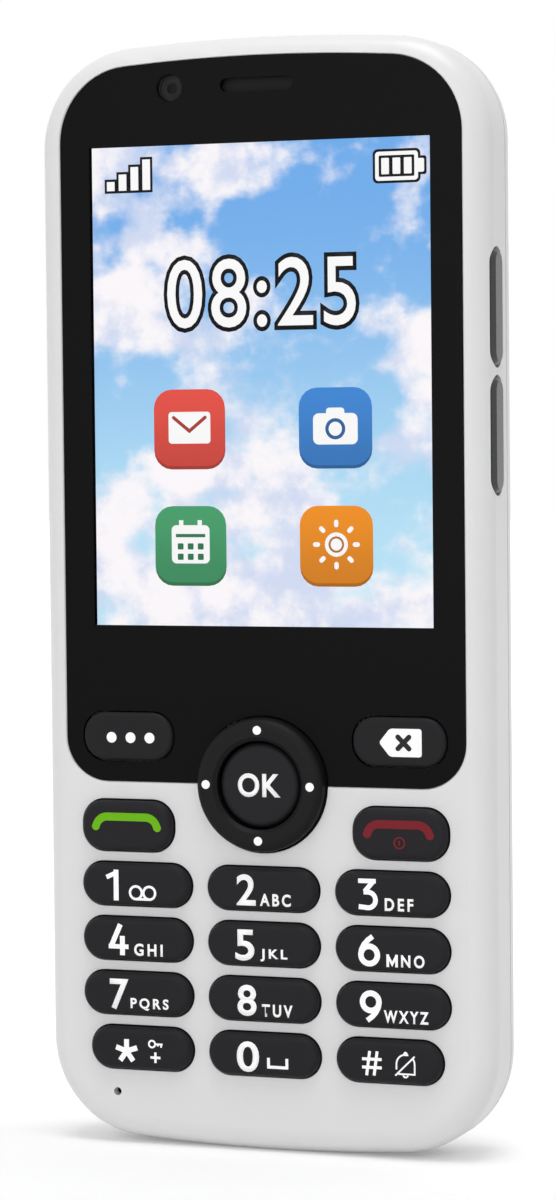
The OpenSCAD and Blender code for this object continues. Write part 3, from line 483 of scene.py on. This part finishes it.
# %% Lens finishes
def ringed(name, node, colour, roughness, pitch_mm, depth_mm, **constants):
    """Fine rings round the middle of a node, as a lathe or a stepped lens leaves them."""
    low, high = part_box(node)
    finish = Finish(name, colour, roughness, **constants)
    x, _, z = finish.axes()
    across = x - (low.x + high.x) / 2 / MM
    along = z - (low.z + high.z) / 2 / MM
    distance = (across * across + along * along).sqrt()
    wave = abs((distance / pitch_mm).fraction() - 0.5) * 2
    darker = opaque(tuple(c * 0.7 for c in colour))
    finish.set("Base Color", finish.mix(wave, finish.colour, darker))
    finish.bump(wave, depth_mm)
    return finish


lens_finishes = {
    "lens_surround": ringed("lens_surround", "rear_camera_lens", srgb(24, 24, 26), 0.12, 0.35, 0.004,
                            coat_weight=0.6),
    "flash_clear": ringed("flash_clear", "flash_led", srgb(232, 226, 206), 0.2, 0.3, 0.05,
                          coat_weight=0.5),
    "lens_black": ringed("lens_black", "front_camera", srgb(44, 44, 46), 0.35, 0.4, 0.01),
}
print(len(lens_finishes), "lens finishes ready")

# %% [markdown]
# ## Dressing the frame
# Each solid of the frame names the slot that its finish comes from. One table from slot to material dresses
# all of them, so a new solid with a known slot needs nothing more. The microphone's metal can, seen only
# through its hole, takes the dark mesh finish: painted shade that keeps the hole dark.

# %% Dress the solids
slot_finishes = {
    "housing_white": housing_finish,
    "button_white": button_finish,
    "chassis_black": chassis_finish,
    "key_charcoal": key_finish,
    "window_key_black": window_key_finish,
    "side_key_grey": side_key_finish,
    "window_black": window_finish,
    "display_glass": display_finish,
    **inner_finishes,
    **lens_finishes,
}
# The microphone's dark mesh finish is painted shade in its hole.
node_finishes = {"microphone": inner_finishes["mesh_black"], "nav_ring": ring_finish}
for part in frame["record"]["subparts"]:
    solid = nodes[part["node"]]
    finish = node_finishes.get(part["node"], slot_finishes[part["material_slot"]])
    solid.data.materials.clear()
    solid.data.materials.append(finish.material)

# %% [markdown]
# ## Hand tools for flat artwork
# Legends and symbols are thin layers of ink. Each is drawn flat, in millimetres, as on a drawing board: a
# face through a few points, or a band of one width along a path. Its corners are rounded with a vertex bevel,
# a Solidify modifier gives it the thickness of ink, and it is then stood upright on the piece that carries
# it.

# %% Flat artwork tools
INK_T = 0.03
INK_SUNK = 0.01


def named(name):
    piece = bpy.context.active_object
    piece.name = piece.data.name = name
    return piece


def flat_face(name, points):
    """A flat face through the points: a circle's vertices moved to their places."""
    bpy.ops.object.select_all(action="DESELECT")
    bpy.ops.mesh.primitive_circle_add(vertices=len(points), fill_type="NGON")
    piece = named(name)
    for vertex, (x, z) in zip(piece.data.vertices, points):
        vertex.co = (x, z, 0)
    return piece


def arc(x, z, r, start, end, steps=10):
    """Points on an arc, with angles in degrees."""
    turns = [math.radians(start + (end - start) * i / steps) for i in range(steps + 1)]
    return [(x + r * math.cos(t), z + r * math.sin(t)) for t in turns]


def mitres(path, width, closed):
    """Pairs of points to the left and right of a path, mitred at its bends."""
    points = [Vector(p) for p in path]
    pairs = []
    for i, point in enumerate(points):
        before = points[i - 1] if i > 0 or closed else None
        after = points[(i + 1) % len(points)] if i < len(points) - 1 or closed else None
        runs = [(b - a).normalized() for a, b in ((before, point), (point, after)) if a and b]
        sides = [Vector((-run.y, run.x)) for run in runs]
        middle = sum(sides, Vector((0, 0))).normalized()
        reach = width / 2 / max(0.4, middle.dot(sides[0]))
        pairs.append((point + middle * reach, point - middle * reach))
    return pairs


def band(name, path, width, closed=False):
    """A flat band along a path: a strip of faces whose vertices are moved to both sides of the path."""
    pairs = mitres(path, width, closed)
    if closed:
        pairs.append(pairs[0])
    bpy.ops.object.select_all(action="DESELECT")
    bpy.ops.mesh.primitive_grid_add(x_subdivisions=len(pairs) - 1, y_subdivisions=1)
    piece = named(name)
    for side in (0, 1):
        for i, pair in enumerate(pairs):
            vertex = piece.data.vertices[i + (0 if side else len(pairs))]
            vertex.co = (*pair[side], 0)
    tidy_mesh(piece)
    return piece


def choose(pieces):
    """Selects only these pieces and makes the first of them active."""
    bpy.ops.object.select_all(action="DESELECT")
    for piece in pieces:
        piece.select_set(True)
    bpy.context.view_layer.objects.active = pieces[0]


def edit(piece):
    choose([piece])
    bpy.ops.object.mode_set(mode="EDIT")


def tidy_mesh(piece):
    """Merges doubles and turns all faces outwards."""
    edit(piece)
    bpy.ops.mesh.select_all(action="SELECT")
    bpy.ops.mesh.remove_doubles(threshold=1e-5)
    bpy.ops.mesh.normals_make_consistent(inside=False)
    bpy.ops.object.mode_set(mode="OBJECT")


def round_corners(piece, radius, wanted=lambda co: True, segments=5):
    """Rounds the chosen corners of a flat piece with a vertex bevel."""
    edit(piece)
    bpy.ops.mesh.select_all(action="DESELECT")
    bpy.ops.mesh.select_mode(type="VERT")
    bpy.ops.object.mode_set(mode="OBJECT")
    for vertex in piece.data.vertices:
        vertex.select = wanted(vertex.co)
    bpy.ops.object.mode_set(mode="EDIT")
    bpy.ops.mesh.bevel(offset=radius, segments=segments, affect="VERTICES")
    bpy.ops.object.mode_set(mode="OBJECT")
    return piece


def stroke(name, path, width):
    """A band with round ends."""
    piece = band(name, path, width)
    ends = [Vector((*p, 0)) for p in (path[0], path[-1])]

    def near_end(co):
        return min((co - end).length for end in ends) < width * 0.51

    return round_corners(piece, width * 0.49, near_end, segments=4)


def disc(name, x, z, r, steps=24):
    return flat_face(name, arc(x, z, r, 0, 360 - 360 / steps, steps - 1))


def writing(name, text, weight=0.0, spacing=1.0):
    """Flat letters from the built-in typeface, made a mesh; weight thickens the strokes."""
    bpy.ops.object.select_all(action="DESELECT")
    bpy.ops.object.text_add()
    words = bpy.context.active_object
    words.data.body = text
    words.data.offset = weight
    words.data.space_character = spacing
    words.data.resolution_u = 5
    bpy.ops.object.convert(target="MESH")
    piece = named(name)
    tidy_mesh(piece)
    return piece


def fit(piece, left, bottom, width, height, companion=None):
    """Stretches a flat piece to a measured box, and a companion by the same amounts."""
    xs = [v.co.x for v in piece.data.vertices]
    zs = [v.co.y for v in piece.data.vertices]
    grow_x = width / (max(xs) - min(xs))
    grow_z = height / (max(zs) - min(zs))
    for flat in filter(None, (piece, companion)):
        for vertex in flat.data.vertices:
            x = left + (vertex.co.x - min(xs)) * grow_x
            z = bottom + (vertex.co.y - min(zs)) * grow_z
            vertex.co = (x, z, 0)
    return piece


def joined(name, pieces):
    """Several flat pieces as one."""
    choose(pieces)
    if len(pieces) > 1:
        bpy.ops.object.join()
    return named(name)


def inked(piece, thickness=INK_T):
    """Gives a flat piece its thickness towards the viewer."""
    for face in piece.data.polygons:
        if face.normal.z < 0:
            face.flip()
    choose([piece])
    wall = piece.modifiers.new("ink", "SOLIDIFY")
    wall.thickness = thickness
    wall.offset = 1
    bpy.ops.object.modifier_apply(modifier=wall.name)
    return piece


def fused(piece):
    """Makes overlapping shells one clean shell, so that no two faces lie in the same place."""
    edit(piece)
    bpy.ops.mesh.select_all(action="SELECT")
    bpy.ops.mesh.intersect_boolean(operation="UNION", use_self=True, solver="EXACT")
    bpy.ops.object.mode_set(mode="OBJECT")
    return piece


def stand(piece, x, z, depth, faces_back=False):
    """Turns a flat piece upright, facing the front or the back, and puts it in its place in metres."""
    turn = Matrix.Rotation(math.radians(90), 4, "X")
    if faces_back:
        turn = Matrix.Rotation(math.radians(180), 4, "Z") @ turn
    piece.data.transform(Matrix.Translation((x * MM, depth * MM, z * MM)) @ turn @ Matrix.Scale(MM, 4))
    piece.data.update()
    return piece


def keep(piece, finish, body):
    """Dresses a finished piece and lets it move with its body."""
    piece.data.materials.clear()
    piece.data.materials.append(finish.material)
    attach(piece, body)
    return piece


print("flat artwork tools ready")

# %% [markdown]
# ## Inks
# The legends are printed in dense white ink, the two phone symbols in green and red. Screen-printed ink is
# slightly uneven, so its colour and gloss drift by a few per cent over a millimetre. The white ink is given a
# faint glow of its own: painted light that makes the legends whiter than their paint alone.

# %% Inks
def ink(name, colour, **constants):
    return moulded(name, colour, 0.5, grain_mm=0.1, grain_depth=0.002, specular_ior_level=0.2, **constants)


# The white ink's faint emission is painted light, to make the legends whiter.
glowing_white_ink = ink("glowing_white_ink", (0.92, 0.92, 0.92), emission_color=(1, 1, 1, 1), emission_strength=0.16)
green_ink = ink("green_ink", srgb(110, 186, 4))
red_ink = ink("red_ink", srgb(122, 24, 36))
dark_ink = ink("dark_ink", srgb(34, 34, 36))
print("four inks ready")

# %% [markdown]
# ## Number legends
# Each number key carries a large numeral with small letters on the same line, as telephone keys do. The
# numerals are set in the built-in typeface with thicker strokes and fitted to one height; 1, 3, 4, 6 and 9
# are drawn from bands, since the keys have them in a plainer form. One function sets a key's legend; the loop
# places it on the key's own middle, so a legend always follows its key.

# %% Number legends
NUMERAL_H = 3.75
NUMERAL_W = 2.45
LETTER_H = 1.5
LETTER_SPACING = 1.4
BASELINE = -1.95
NUMERAL_WEIGHT = 0.018
LETTER_WEIGHT = 0.03
LETTER_LINE = 0.32
STEM_W = 0.64
BAR_W = 0.55
BOWL_W = 0.58
M_WIDTH = 1.42
M_GAP = 0.4
# Left edge of each numeral, and left edge and width of each key's letters
numeral_left = {1: -3.71, 2: -3.11, 3: -3.97, 4: -3.52, 5: -3.34, 6: -4.05, 7: -3.44, 8: -3.14, 9: -3.9}
letters = {2: ("ABC", -0.13, 3.93), 3: ("DEF", -0.68, 3.56), 4: ("GHI", -0.19, 3.74),
           5: ("JKL", -0.13, 3.44), 6: ("MNO", -0.52, 4.73), 7: ("PQRS", -0.74, 4.98),
           8: ("TUV", 0.0, 3.9), 9: ("WXYZ", -0.9, 5.57)}


def face_of(node):
    """Middle of a node in x and z, and the depth of its front, in millimetres."""
    low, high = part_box(node)
    return (low.x + high.x) / 2 / MM, (low.z + high.z) / 2 / MM, low.y / MM


def print_on(node, name, pieces, finish=None):
    """Joins flat pieces into one legend and prints it on the front of a key."""
    x, z, front = face_of(node)
    legend = stand(fused(inked(joined(name, pieces))), x, z, front + INK_SUNK)
    return keep(legend, finish or glowing_white_ink, node)


def numeral_1(left):
    """A stem with a slanting flag."""
    top = BASELINE + NUMERAL_H
    stem = left + 1.25
    return [band("stem", [(stem, BASELINE), (stem, top)], STEM_W),
            band("flag", [(left, top - 0.95), (stem, top - 0.38)], BAR_W)]


def numeral_3(left):
    """A flat-topped three: a bar, a slant and a bowl."""
    low = BASELINE
    top = low + NUMERAL_H - 0.28
    turn = arc(left + 1.22, low + 1.22, 0.93, 90, -100, 16)
    return [band("bar", [(left, top), (left + 2.2, top)], 0.54),
            band("slant", [(left + 1.9, top), (left + 0.8, low + 2.2)], BOWL_W),
            band("bowl", [(left + 0.66, low + 2.15)] + turn + [(left + 0.05, low + 0.4)], BOWL_W)]


def numeral_4(left):
    """An open four: a slanting stroke, a bar and a short stem."""
    bar = BASELINE + 1.05
    stem = left + 1.8
    slant = [(left + 1.55, BASELINE + NUMERAL_H), (left + 0.32, bar)]
    return [band("slant", slant, STEM_W),
            band("bar", [(left, bar), (left + 2.6, bar)], BAR_W),
            band("stem", [(stem, BASELINE), (stem, BASELINE + 2.35)], STEM_W)]


def numeral_6(left, turned=False):
    """A ring with a stem that leans over it; turned round, it is a nine."""
    def at(x, z):
        return (left + 2.75 - x, BASELINE + NUMERAL_H - z) if turned else (left + x, BASELINE + z)

    stem = [at(x, z) for x, z in ((0.34, 1.34), (0.42, 1.95), (0.74, 2.57), (1.22, 3.1), (1.82, 3.56))]
    return [band("bowl", arc(*at(1.375, 1.34), 1.03, 0, 350, 35), 0.68, closed=True),
            band("stem", stem, 0.62)]


def numeral(number, left):
    """A numeral as flat pieces; those the typeface has in another form are drawn."""
    drawn = {1: numeral_1, 3: numeral_3, 4: numeral_4, 6: numeral_6}
    if number == 9:
        return numeral_6(left, turned=True)
    if number in drawn:
        return drawn[number](left)
    piece = writing("numeral", str(number), NUMERAL_WEIGHT)
    return [fit(piece, left, BASELINE, NUMERAL_W, NUMERAL_H)]


def letter_m(left, width):
    """A capital M of four strokes."""
    low = BASELINE
    high = BASELINE + LETTER_H
    first = left + LETTER_LINE / 2
    last = left + width - LETTER_LINE / 2
    middle = left + width / 2
    slants = [(first, high - 0.12), (middle, low + 0.35), (last, high - 0.12)]
    return [band("upright", [(first, low), (first, high)], LETTER_LINE),
            band("upright", [(last, low), (last, high)], LETTER_LINE),
            band("slant", slants, LETTER_LINE * 0.9)]


def voicemail_sign(x, bottom, width, height):
    """Two rings on a bar."""
    line = 0.3
    r = (height - line) / 2
    spread = width / 2 - height / 2
    rings = [band("ring", arc(x + s * spread, bottom + height / 2, r, 0, 345, 23), line, closed=True)
             for s in (-1, 1)]
    return rings + [band("bar", [(x - spread, bottom + line / 2), (x + spread, bottom + line / 2)], line)]


for number in range(1, 10):
    art = numeral(number, numeral_left[number])
    if number in letters:
        text, left, width = letters[number]
        if text[0] == "M":
            art += letter_m(left, M_WIDTH)
            text, left, width = text[1:], left + M_WIDTH + M_GAP, width - M_WIDTH - M_GAP
        words = writing("letters", text, LETTER_WEIGHT, LETTER_SPACING)
        art.append(fit(words, left, BASELINE, width, LETTER_H))
    else:
        art += voicemail_sign(1.0, -1.85, 3.6, 1.85)
    print_on(f"key_{number}", f"legend_{number}", art)
print("nine number legends")

# %% [markdown]
# ## Star, zero and hash legends
# The lowest row has a star with a small key and a plus, a zero with a space sign, and a hash with a silenced
# bell. Each is made of bands of one line width, as a sign drawer would do it: rings, bars, and arcs for the
# bell.

# %% Lower row legends
def star_sign(x, z, height):
    """Five arms from one middle."""
    arms = []
    for i in range(5):
        tip = arc(x, z, height / 2, 90 + 72 * i, 90 + 72 * i, 1)[0]
        arms.append(band("arm", [(x, z), tip], 0.64))
    return arms


def door_key_sign(x, z, width, height):
    """A small key lying on its side."""
    line = 0.22
    r = (height - line) / 2
    bow = band("bow", arc(x - width / 2 + height / 2, z, r, 0, 340, 17), line, closed=True)
    end = x + width / 2
    shaft = band("shaft", [(x - width / 2 + height - line / 2, z), (end, z)], line)
    bits = [band("bit", [(end - d, z), (end - d, z - h)], line) for d, h in ((0.2, 0.38), (0.62, 0.24))]
    return [bow, shaft] + bits


def plus_sign(x, z, size):
    line = 0.3
    return [band("plus", [(x - size / 2, z), (x + size / 2, z)], line),
            band("plus", [(x, z - size / 2), (x, z + size / 2)], line)]


def space_sign(x, bottom, width, height):
    line = 0.36
    side = width / 2 - line / 2
    path = [(x - side, bottom + height), (x - side, bottom + line / 2), (x + side, bottom + line / 2),
            (x + side, bottom + height)]
    return [band("space", path, line)]


def hash_sign(x, z, width, height):
    """Two slanting uprights and two bars."""
    lean = 0.2
    line = 0.36
    uprights = [band("upright", [(x + s - lean, z - height / 2), (x + s + lean, z + height / 2)], line)
                for s in (-width * 0.19, width * 0.19)]
    bars = [band("bar", [(x - width / 2, z + s), (x + width / 2, z + s)], line)
            for s in (-height * 0.17, height * 0.17)]
    return uprights + bars


def silenced_bell(x, z, width, height):
    """A bell's outline, open where a slash crosses it."""
    line = 0.2
    rim = z - height * 0.33
    side = width * 0.44
    crown = z + height * 0.05
    left = [(x - side, z - height * 0.16)] + arc(x, crown, side, 180, 72, 8)
    right = arc(x, crown, side, 40, 0, 4) + [(x + side, rim), (x - width * 0.36, rim)]
    knob = disc("knob", x, crown + side + 0.1, 0.26, 14)
    clapper = band("clapper", arc(x, rim - 0.08, 0.3, 190, 350, 8), line)
    slash = band("slash", [(x - width / 2, z - height * 0.4), (x + width * 0.44, z + height * 0.36)], line)
    return [band("bell", left, line), band("bell", right, line), knob, clapper, slash]


star_art = star_sign(-1.78, -0.33, 2.9) + door_key_sign(1.99, 0.68, 1.9, 1.04) + plus_sign(1.99, -0.96, 1.3)
print_on("key_star", "legend_star", star_art)
zero = fit(writing("numeral", "0", NUMERAL_WEIGHT), -3.3, -2.06, 2.87, 3.7)
print_on("key_0", "legend_0", [zero] + space_sign(1.94, -1.51, 2.7, 1.28))
hash_art = hash_sign(-2.0, -0.2, 2.45, 2.9) + silenced_bell(2.2, -0.27, 2.57, 3.1)
print_on("key_hash", "legend_hash", hash_art)
print("three lower legends")

# %% [markdown]
# ## Function key symbols
# The call and end keys carry a handset shape drawn as one flat arch, in green and red, and the end key a
# small power sign. The menu key has three dots. The clear key has a solid arrow-shaped tab with a cross in
# it. The cross is a second ink, printed a little higher, so the two prints share no face.

# %% Function key symbols
def arch_sign(name, x, top, foot, width, line):
    """A flat-topped arch with round shoulders, legs that lean outwards and round ends."""
    high = top - line / 2
    half = width / 2 - line / 2
    lean = 0.35
    bend = 1.5
    corner = half - lean
    left = arc(x - corner + bend, high - bend, bend, 168, 90, 8)
    right = arc(x + corner - bend, high - bend, bend, 90, 12, 8)
    path = [(x - half, foot + line / 2)] + left + right + [(x + half, foot + line / 2)]
    return stroke(name, path, line)


def power_sign(x, z, size):
    line = 0.17
    ring = band("ring", arc(x, z, size / 2 - line / 2, 0, 345, 23), line, closed=True)
    return [ring, band("bar", [(x, z - size * 0.2), (x, z + size * 0.2)], line)]


def clear_sign(width, height, slant, x, z):
    """A rounded tab with a point at its left."""
    right = x + width / 2
    left = x - width / 2
    points = [(left, z), (left + slant, z - height / 2), (right, z - height / 2), (right, z + height / 2),
              (left + slant, z + height / 2)]
    return round_corners(flat_face("tab", points), 0.32)


print_on("call_key", "call_sign", [arch_sign("arch", 0.07, 1.6, -0.95, 9.7, 0.97)], green_ink)
end_art = [arch_sign("arch", -0.02, 1.67, -0.9, 9.5, 1.0)] + power_sign(0.1, -1.0, 1.45)
print_on("end_key", "end_sign", end_art, red_ink)
print_on("menu_key", "menu_dots", [disc("dot", x, -0.16, 0.65) for x in (-2.1, 0.38, 2.86)])
print_on("clear_key", "clear_sign", [clear_sign(5.3, 3.33, 1.35, 0.2, -0.08)])
CROSS_X = 0.6
CROSS_Z = -0.08
CROSS_R = 0.9
cross = []
for side in (-CROSS_R, CROSS_R):
    ends = [(CROSS_X - side, CROSS_Z - CROSS_R), (CROSS_X + side, CROSS_Z + CROSS_R)]
    cross.append(stroke("cross", ends, 0.6))
x, z, front = face_of("clear_key")
clear_cross = stand(fused(inked(joined("clear_cross", cross))), x, z, front - INK_T / 2)
keep(clear_cross, dark_ink, "clear_key")
print("function key symbols")

# %% [markdown]
# ## Confirm key and ring
# The confirm key is lettered with two bold capitals, which any such key has. Four dots on the ring show the
# directions. They are one print of four equal discs, set at even angles, and it rides on the ring.

# %% Confirm key and ring marks
CAPITAL_H = 2.85
CAPITALS_W = 5.44
DOT_R = 0.53
DOT_RADIUS = 6.62

capitals = writing("capitals", "OK", 0.026, 1.08)
print_on("ok_key", "confirm_letters",
         [fit(capitals, -CAPITALS_W / 2, -CAPITAL_H / 2, CAPITALS_W, CAPITAL_H)])
print_on("nav_ring", "ring_dots", [disc("dot", *arc(0, 0, DOT_RADIUS, a, a, 1)[0], DOT_R)
                                   for a in (0, 90, 180, 270)])
print("confirm letters and four dots")

# %% [markdown]
# ## Lens of the front camera and of the rear camera
# A small camera shows a retaining ring, a black cone and a bulging glass. Each lens is a short cylinder whose
# front is inset again and again, a little deeper or higher each time, as the steps of a lens barrel are
# turned. The finish reads the distance to the lens's axis: dark glass in the middle and a grey ring round it.

# %% Camera lenses
LENS_SIDES = 40


def lens_finish(name, x, z, ring_colour, glass_r, coat):
    """Dark glass within glass_r of the axis at x and z, and a grey ring outside it."""
    finish = Finish(name, ring_colour, 0.3, coat_weight=coat, specular_ior_level=0.2)
    across, _, along = finish.axes()
    across = across - x
    along = along - z
    distance = (across * across + along * along).sqrt()
    ring = distance.between(glass_r, glass_r * 1.25)
    grain = finish.noise(0.3, detail=2)
    finish.set("Base Color", finish.mix(ring, opaque(srgb(14, 14, 17)), finish.colour))
    finish.set("Roughness", 0.16 + ring * 0.25 + grain * 0.05)
    return finish


def lens_steps(name, radius, base_t, steps):
    """A short cylinder, flat on the board, whose front face is inset by (width, rise) again and again."""
    bpy.ops.object.select_all(action="DESELECT")
    bpy.ops.mesh.primitive_cylinder_add(vertices=LENS_SIDES, radius=radius, depth=base_t,
                                        location=(0, 0, base_t / 2))
    bpy.ops.object.transform_apply(location=True)
    piece = named(name)
    edit(piece)
    bpy.ops.mesh.select_mode(type="FACE")
    bpy.ops.mesh.select_all(action="DESELECT")
    bpy.ops.object.mode_set(mode="OBJECT")
    for face in piece.data.polygons:
        face.select = face.normal.z > 0.9
    bpy.ops.object.mode_set(mode="EDIT")
    for width, rise in steps:
        bpy.ops.mesh.inset(thickness=width, depth=rise)
    bpy.ops.object.mode_set(mode="OBJECT")
    bpy.ops.object.shade_smooth_by_angle(angle=math.radians(35))
    return piece


front_steps = [(0.35, 0), (0.25, -0.03), (0.2, 0), (0.2, 0.025), (0.2, 0.012)]
front_eye = stand(lens_steps("front_camera_eye", 1.45, 0.05, front_steps), eye_x, eye_z, barrel_low.y / MM)
keep(front_eye, lens_finish("front_eye", eye_x, eye_z, srgb(76, 76, 78), 0.6, 0.05), "phone")

surround_low, surround_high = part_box("rear_camera_lens")
rear_x = (surround_low.x + surround_high.x) / 2 / MM
rear_z = (surround_low.z + surround_high.z) / 2 / MM
rear_steps = [(0.5, 0), (0.3, -0.02), (0.3, 0), (0.3, 0.02), (0.3, 0.01)]
rear_eye = stand(lens_steps("rear_camera_eye", 2.3, 0.05, rear_steps), rear_x, rear_z,
                 surround_high.y / MM - 0.01, faces_back=True)
keep(rear_eye, lens_finish("rear_eye", rear_x, rear_z, srgb(70, 70, 74), 1.3, 0.4), "cover")
print("two camera lenses")

# %% [markdown]
# ## Display content
# On the sky the display shows a clock, four tiles, signal bars and a battery, all plain signs that any phone
# could show. Each sign is a thin layer of light between the display and the window. A layer stands a few
# thousandths of a millimetre clear of the one behind it, so no two faces share a place. Paler paints lie over
# darker ones, which gives the clock its dark edge and each tile its darker foot.

# %% Display paints and layers
LAYER_T = 0.012
LAYER_STEP = 0.016
screen_front = glass_low.y / MM - 0.004


def screen_paint(name, colour, low=lit_low, high=lit_high, fall=0.15):
    """Light from the display, a little weaker towards the bottom of the sign."""
    finish = Finish(name, DARK_GLASS, 0.3, specular_ior_level=0.05, emission_strength=1)
    _, _, z = finish.axes()
    weaker = opaque(tuple(c * (1 - fall) for c in colour))
    finish.set("Emission Color", finish.mix(z.between(low, high), weaker, opaque(colour)))
    return finish


def on_screen(name, pieces, layer, finish):
    """Joins flat pieces, drawn in the phone's own x and z, into one layer of the display's content."""
    flat = inked(joined(name, pieces), LAYER_T)
    return keep(stand(fused(flat), 0, 0, screen_front - layer * LAYER_STEP), finish, "phone")


def rounded(name, x, z, width, height, corner):
    """A rectangle with round corners."""
    left, right = x - width / 2, x + width / 2
    low, high = z - height / 2, z + height / 2
    return round_corners(flat_face(name, [(left, low), (right, low), (right, high), (left, high)]), corner)


white_light = screen_paint("white_light", (1, 1, 1), fall=0.03)
black_light = screen_paint("black_light", srgb(12, 12, 14))
print("display paints ready")

# %% [markdown]
# ### Clock, signal and battery
# The clock's figures are set twice from the same letters: once thicker, in black, and once on top, in white.
# Bars and battery have the same dark edge, so all three stay readable on a pale cloud.

# %% Clock, signal and battery
CLOCK_W = 24.0
CLOCK_H = 8.2
CLOCK_Z = 103.0
STATUS_LOW = 115.6
EDGE = 0.3

clock_face = writing("clock_face", "08:25", 0.004, 1.12)
clock_edge = writing("clock_edge", "08:25", 0.05, 1.12)
fit(clock_face, -CLOCK_W / 2, CLOCK_Z - CLOCK_H / 2, CLOCK_W, CLOCK_H, clock_edge)
on_screen("clock_edge", [clock_edge], 0, black_light)
on_screen("clock_face", [clock_face], 1, white_light)

bars = [(-19.2 + 1.55 * i, 1.1 + 0.85 * i) for i in range(4)]
on_screen("signal_edge", [band("bar", [(x, STATUS_LOW - EDGE), (x, STATUS_LOW + h + EDGE)], 1 + 2 * EDGE)
                          for x, h in bars], 0, black_light)
on_screen("signal_bars", [band("bar", [(x, STATUS_LOW), (x, STATUS_LOW + h)], 1) for x, h in bars], 1,
          white_light)

CELL_X = 17.2
CELL_Z = STATUS_LOW + 1.8
on_screen("battery_edge", [rounded("case", CELL_X, CELL_Z, 5.9, 4.0, 0.6),
                           rounded("cap", CELL_X + 3.1, CELL_Z, 1.2, 2.2, 0.3)], 0, black_light)
on_screen("battery_case", [rounded("case", CELL_X, CELL_Z, 5.3, 3.4, 0.4),
                           rounded("cap", CELL_X + 2.9, CELL_Z, 1.0, 1.6, 0.2)], 1, white_light)
on_screen("battery_well", [rounded("well", CELL_X, CELL_Z, 4.4, 2.5, 0.15)], 2, black_light)
on_screen("battery_charge", [rounded("charge", CELL_X + dx, CELL_Z, 0.95, 1.9, 0.1) for dx in (-1.4, 0, 1.4)],
          3, white_light)
print("clock, signal and battery")

# %% [markdown]
# ### Tiles
# Four rounded tiles stand two by two. One function lays a tile down in its colour, with its foot, its white
# sign and the marks in that sign. The signs are an envelope, a camera, a calendar and a sun.

# %% Tiles
TILE = 9.2
TILE_CORNER = 2.3
TILE_X = 9.3
TILE_ROWS = (87.0, 73.0)


def envelope_sign(x, z):
    sheet = [rounded("sheet", x, z, 5.4, 3.8, 0.4)]
    return sheet, [stroke("flap", [(x - 2.2, z + 1.35), (x, z - 0.4), (x + 2.2, z + 1.35)], 0.42)]


def camera_sign(x, z):
    body = [rounded("body", x, z - 0.3, 5.6, 3.7, 0.7), rounded("hump", x, z + 1.6, 2.3, 1.2, 0.4)]
    return body, [band("lens", arc(x, z - 0.3, 1.05, 0, 345, 23), 0.42, closed=True)]


def calendar_sign(x, z):
    rings = [band("ring", [(x + s * 1.2, z + 1.9), (x + s * 1.2, z + 2.9)], 0.55) for s in (-1, 1)]
    days = [rounded("day", x + i * 1.3, z - 0.25 - j * 1.25, 0.75, 0.75, 0.12)
            for i in (-1, 0, 1) for j in (0, 1)]
    rule = band("rule", [(x - 1.9, z + 1.05), (x + 1.9, z + 1.05)], 0.4)
    return [rounded("sheet", x, z, 4.9, 4.6, 0.6)] + rings, days + [rule]


def sun_sign(x, z):
    rays = []
    for i in range(8):
        start, end = [arc(x, z, r, 45 * i, 45 * i, 1)[0] for r in (2.05, 2.95)]
        rays.append(stroke("ray", [start, end], 0.55))
    return [disc("sun", x, z, 1.45)] + rays, [band("rim", arc(x, z, 0.85, 0, 345, 23), 0.25, closed=True)]


def tile(name, sign, x, z, colour):
    """One tile: a darker foot, the coloured square, a white sign and the marks in it."""
    low, high = z - TILE / 2, z + TILE / 2
    dark = screen_paint(f"{name}_dark", tuple(c * 0.55 for c in colour), low, high)
    on_screen(f"{name}_foot", [rounded("foot", x, z - 0.4, TILE, TILE, TILE_CORNER)], 0, dark)
    face = screen_paint(f"{name}_colour", colour, low, high, fall=0.25)
    on_screen(f"{name}_tile", [rounded("tile", x, z, TILE, TILE, TILE_CORNER)], 1, face)
    white, marks = sign(x, z)
    on_screen(f"{name}_sign", white, 2, white_light)
    on_screen(f"{name}_marks", marks, 3, dark)


tile("mail", envelope_sign, -TILE_X, TILE_ROWS[0], srgb(232, 82, 70))
tile("camera", camera_sign, TILE_X, TILE_ROWS[0], srgb(64, 136, 214))
tile("calendar", calendar_sign, -TILE_X, TILE_ROWS[1], srgb(72, 160, 108))
tile("weather", sun_sign, TILE_X, TILE_ROWS[1], srgb(243, 146, 28))
print("four tiles")
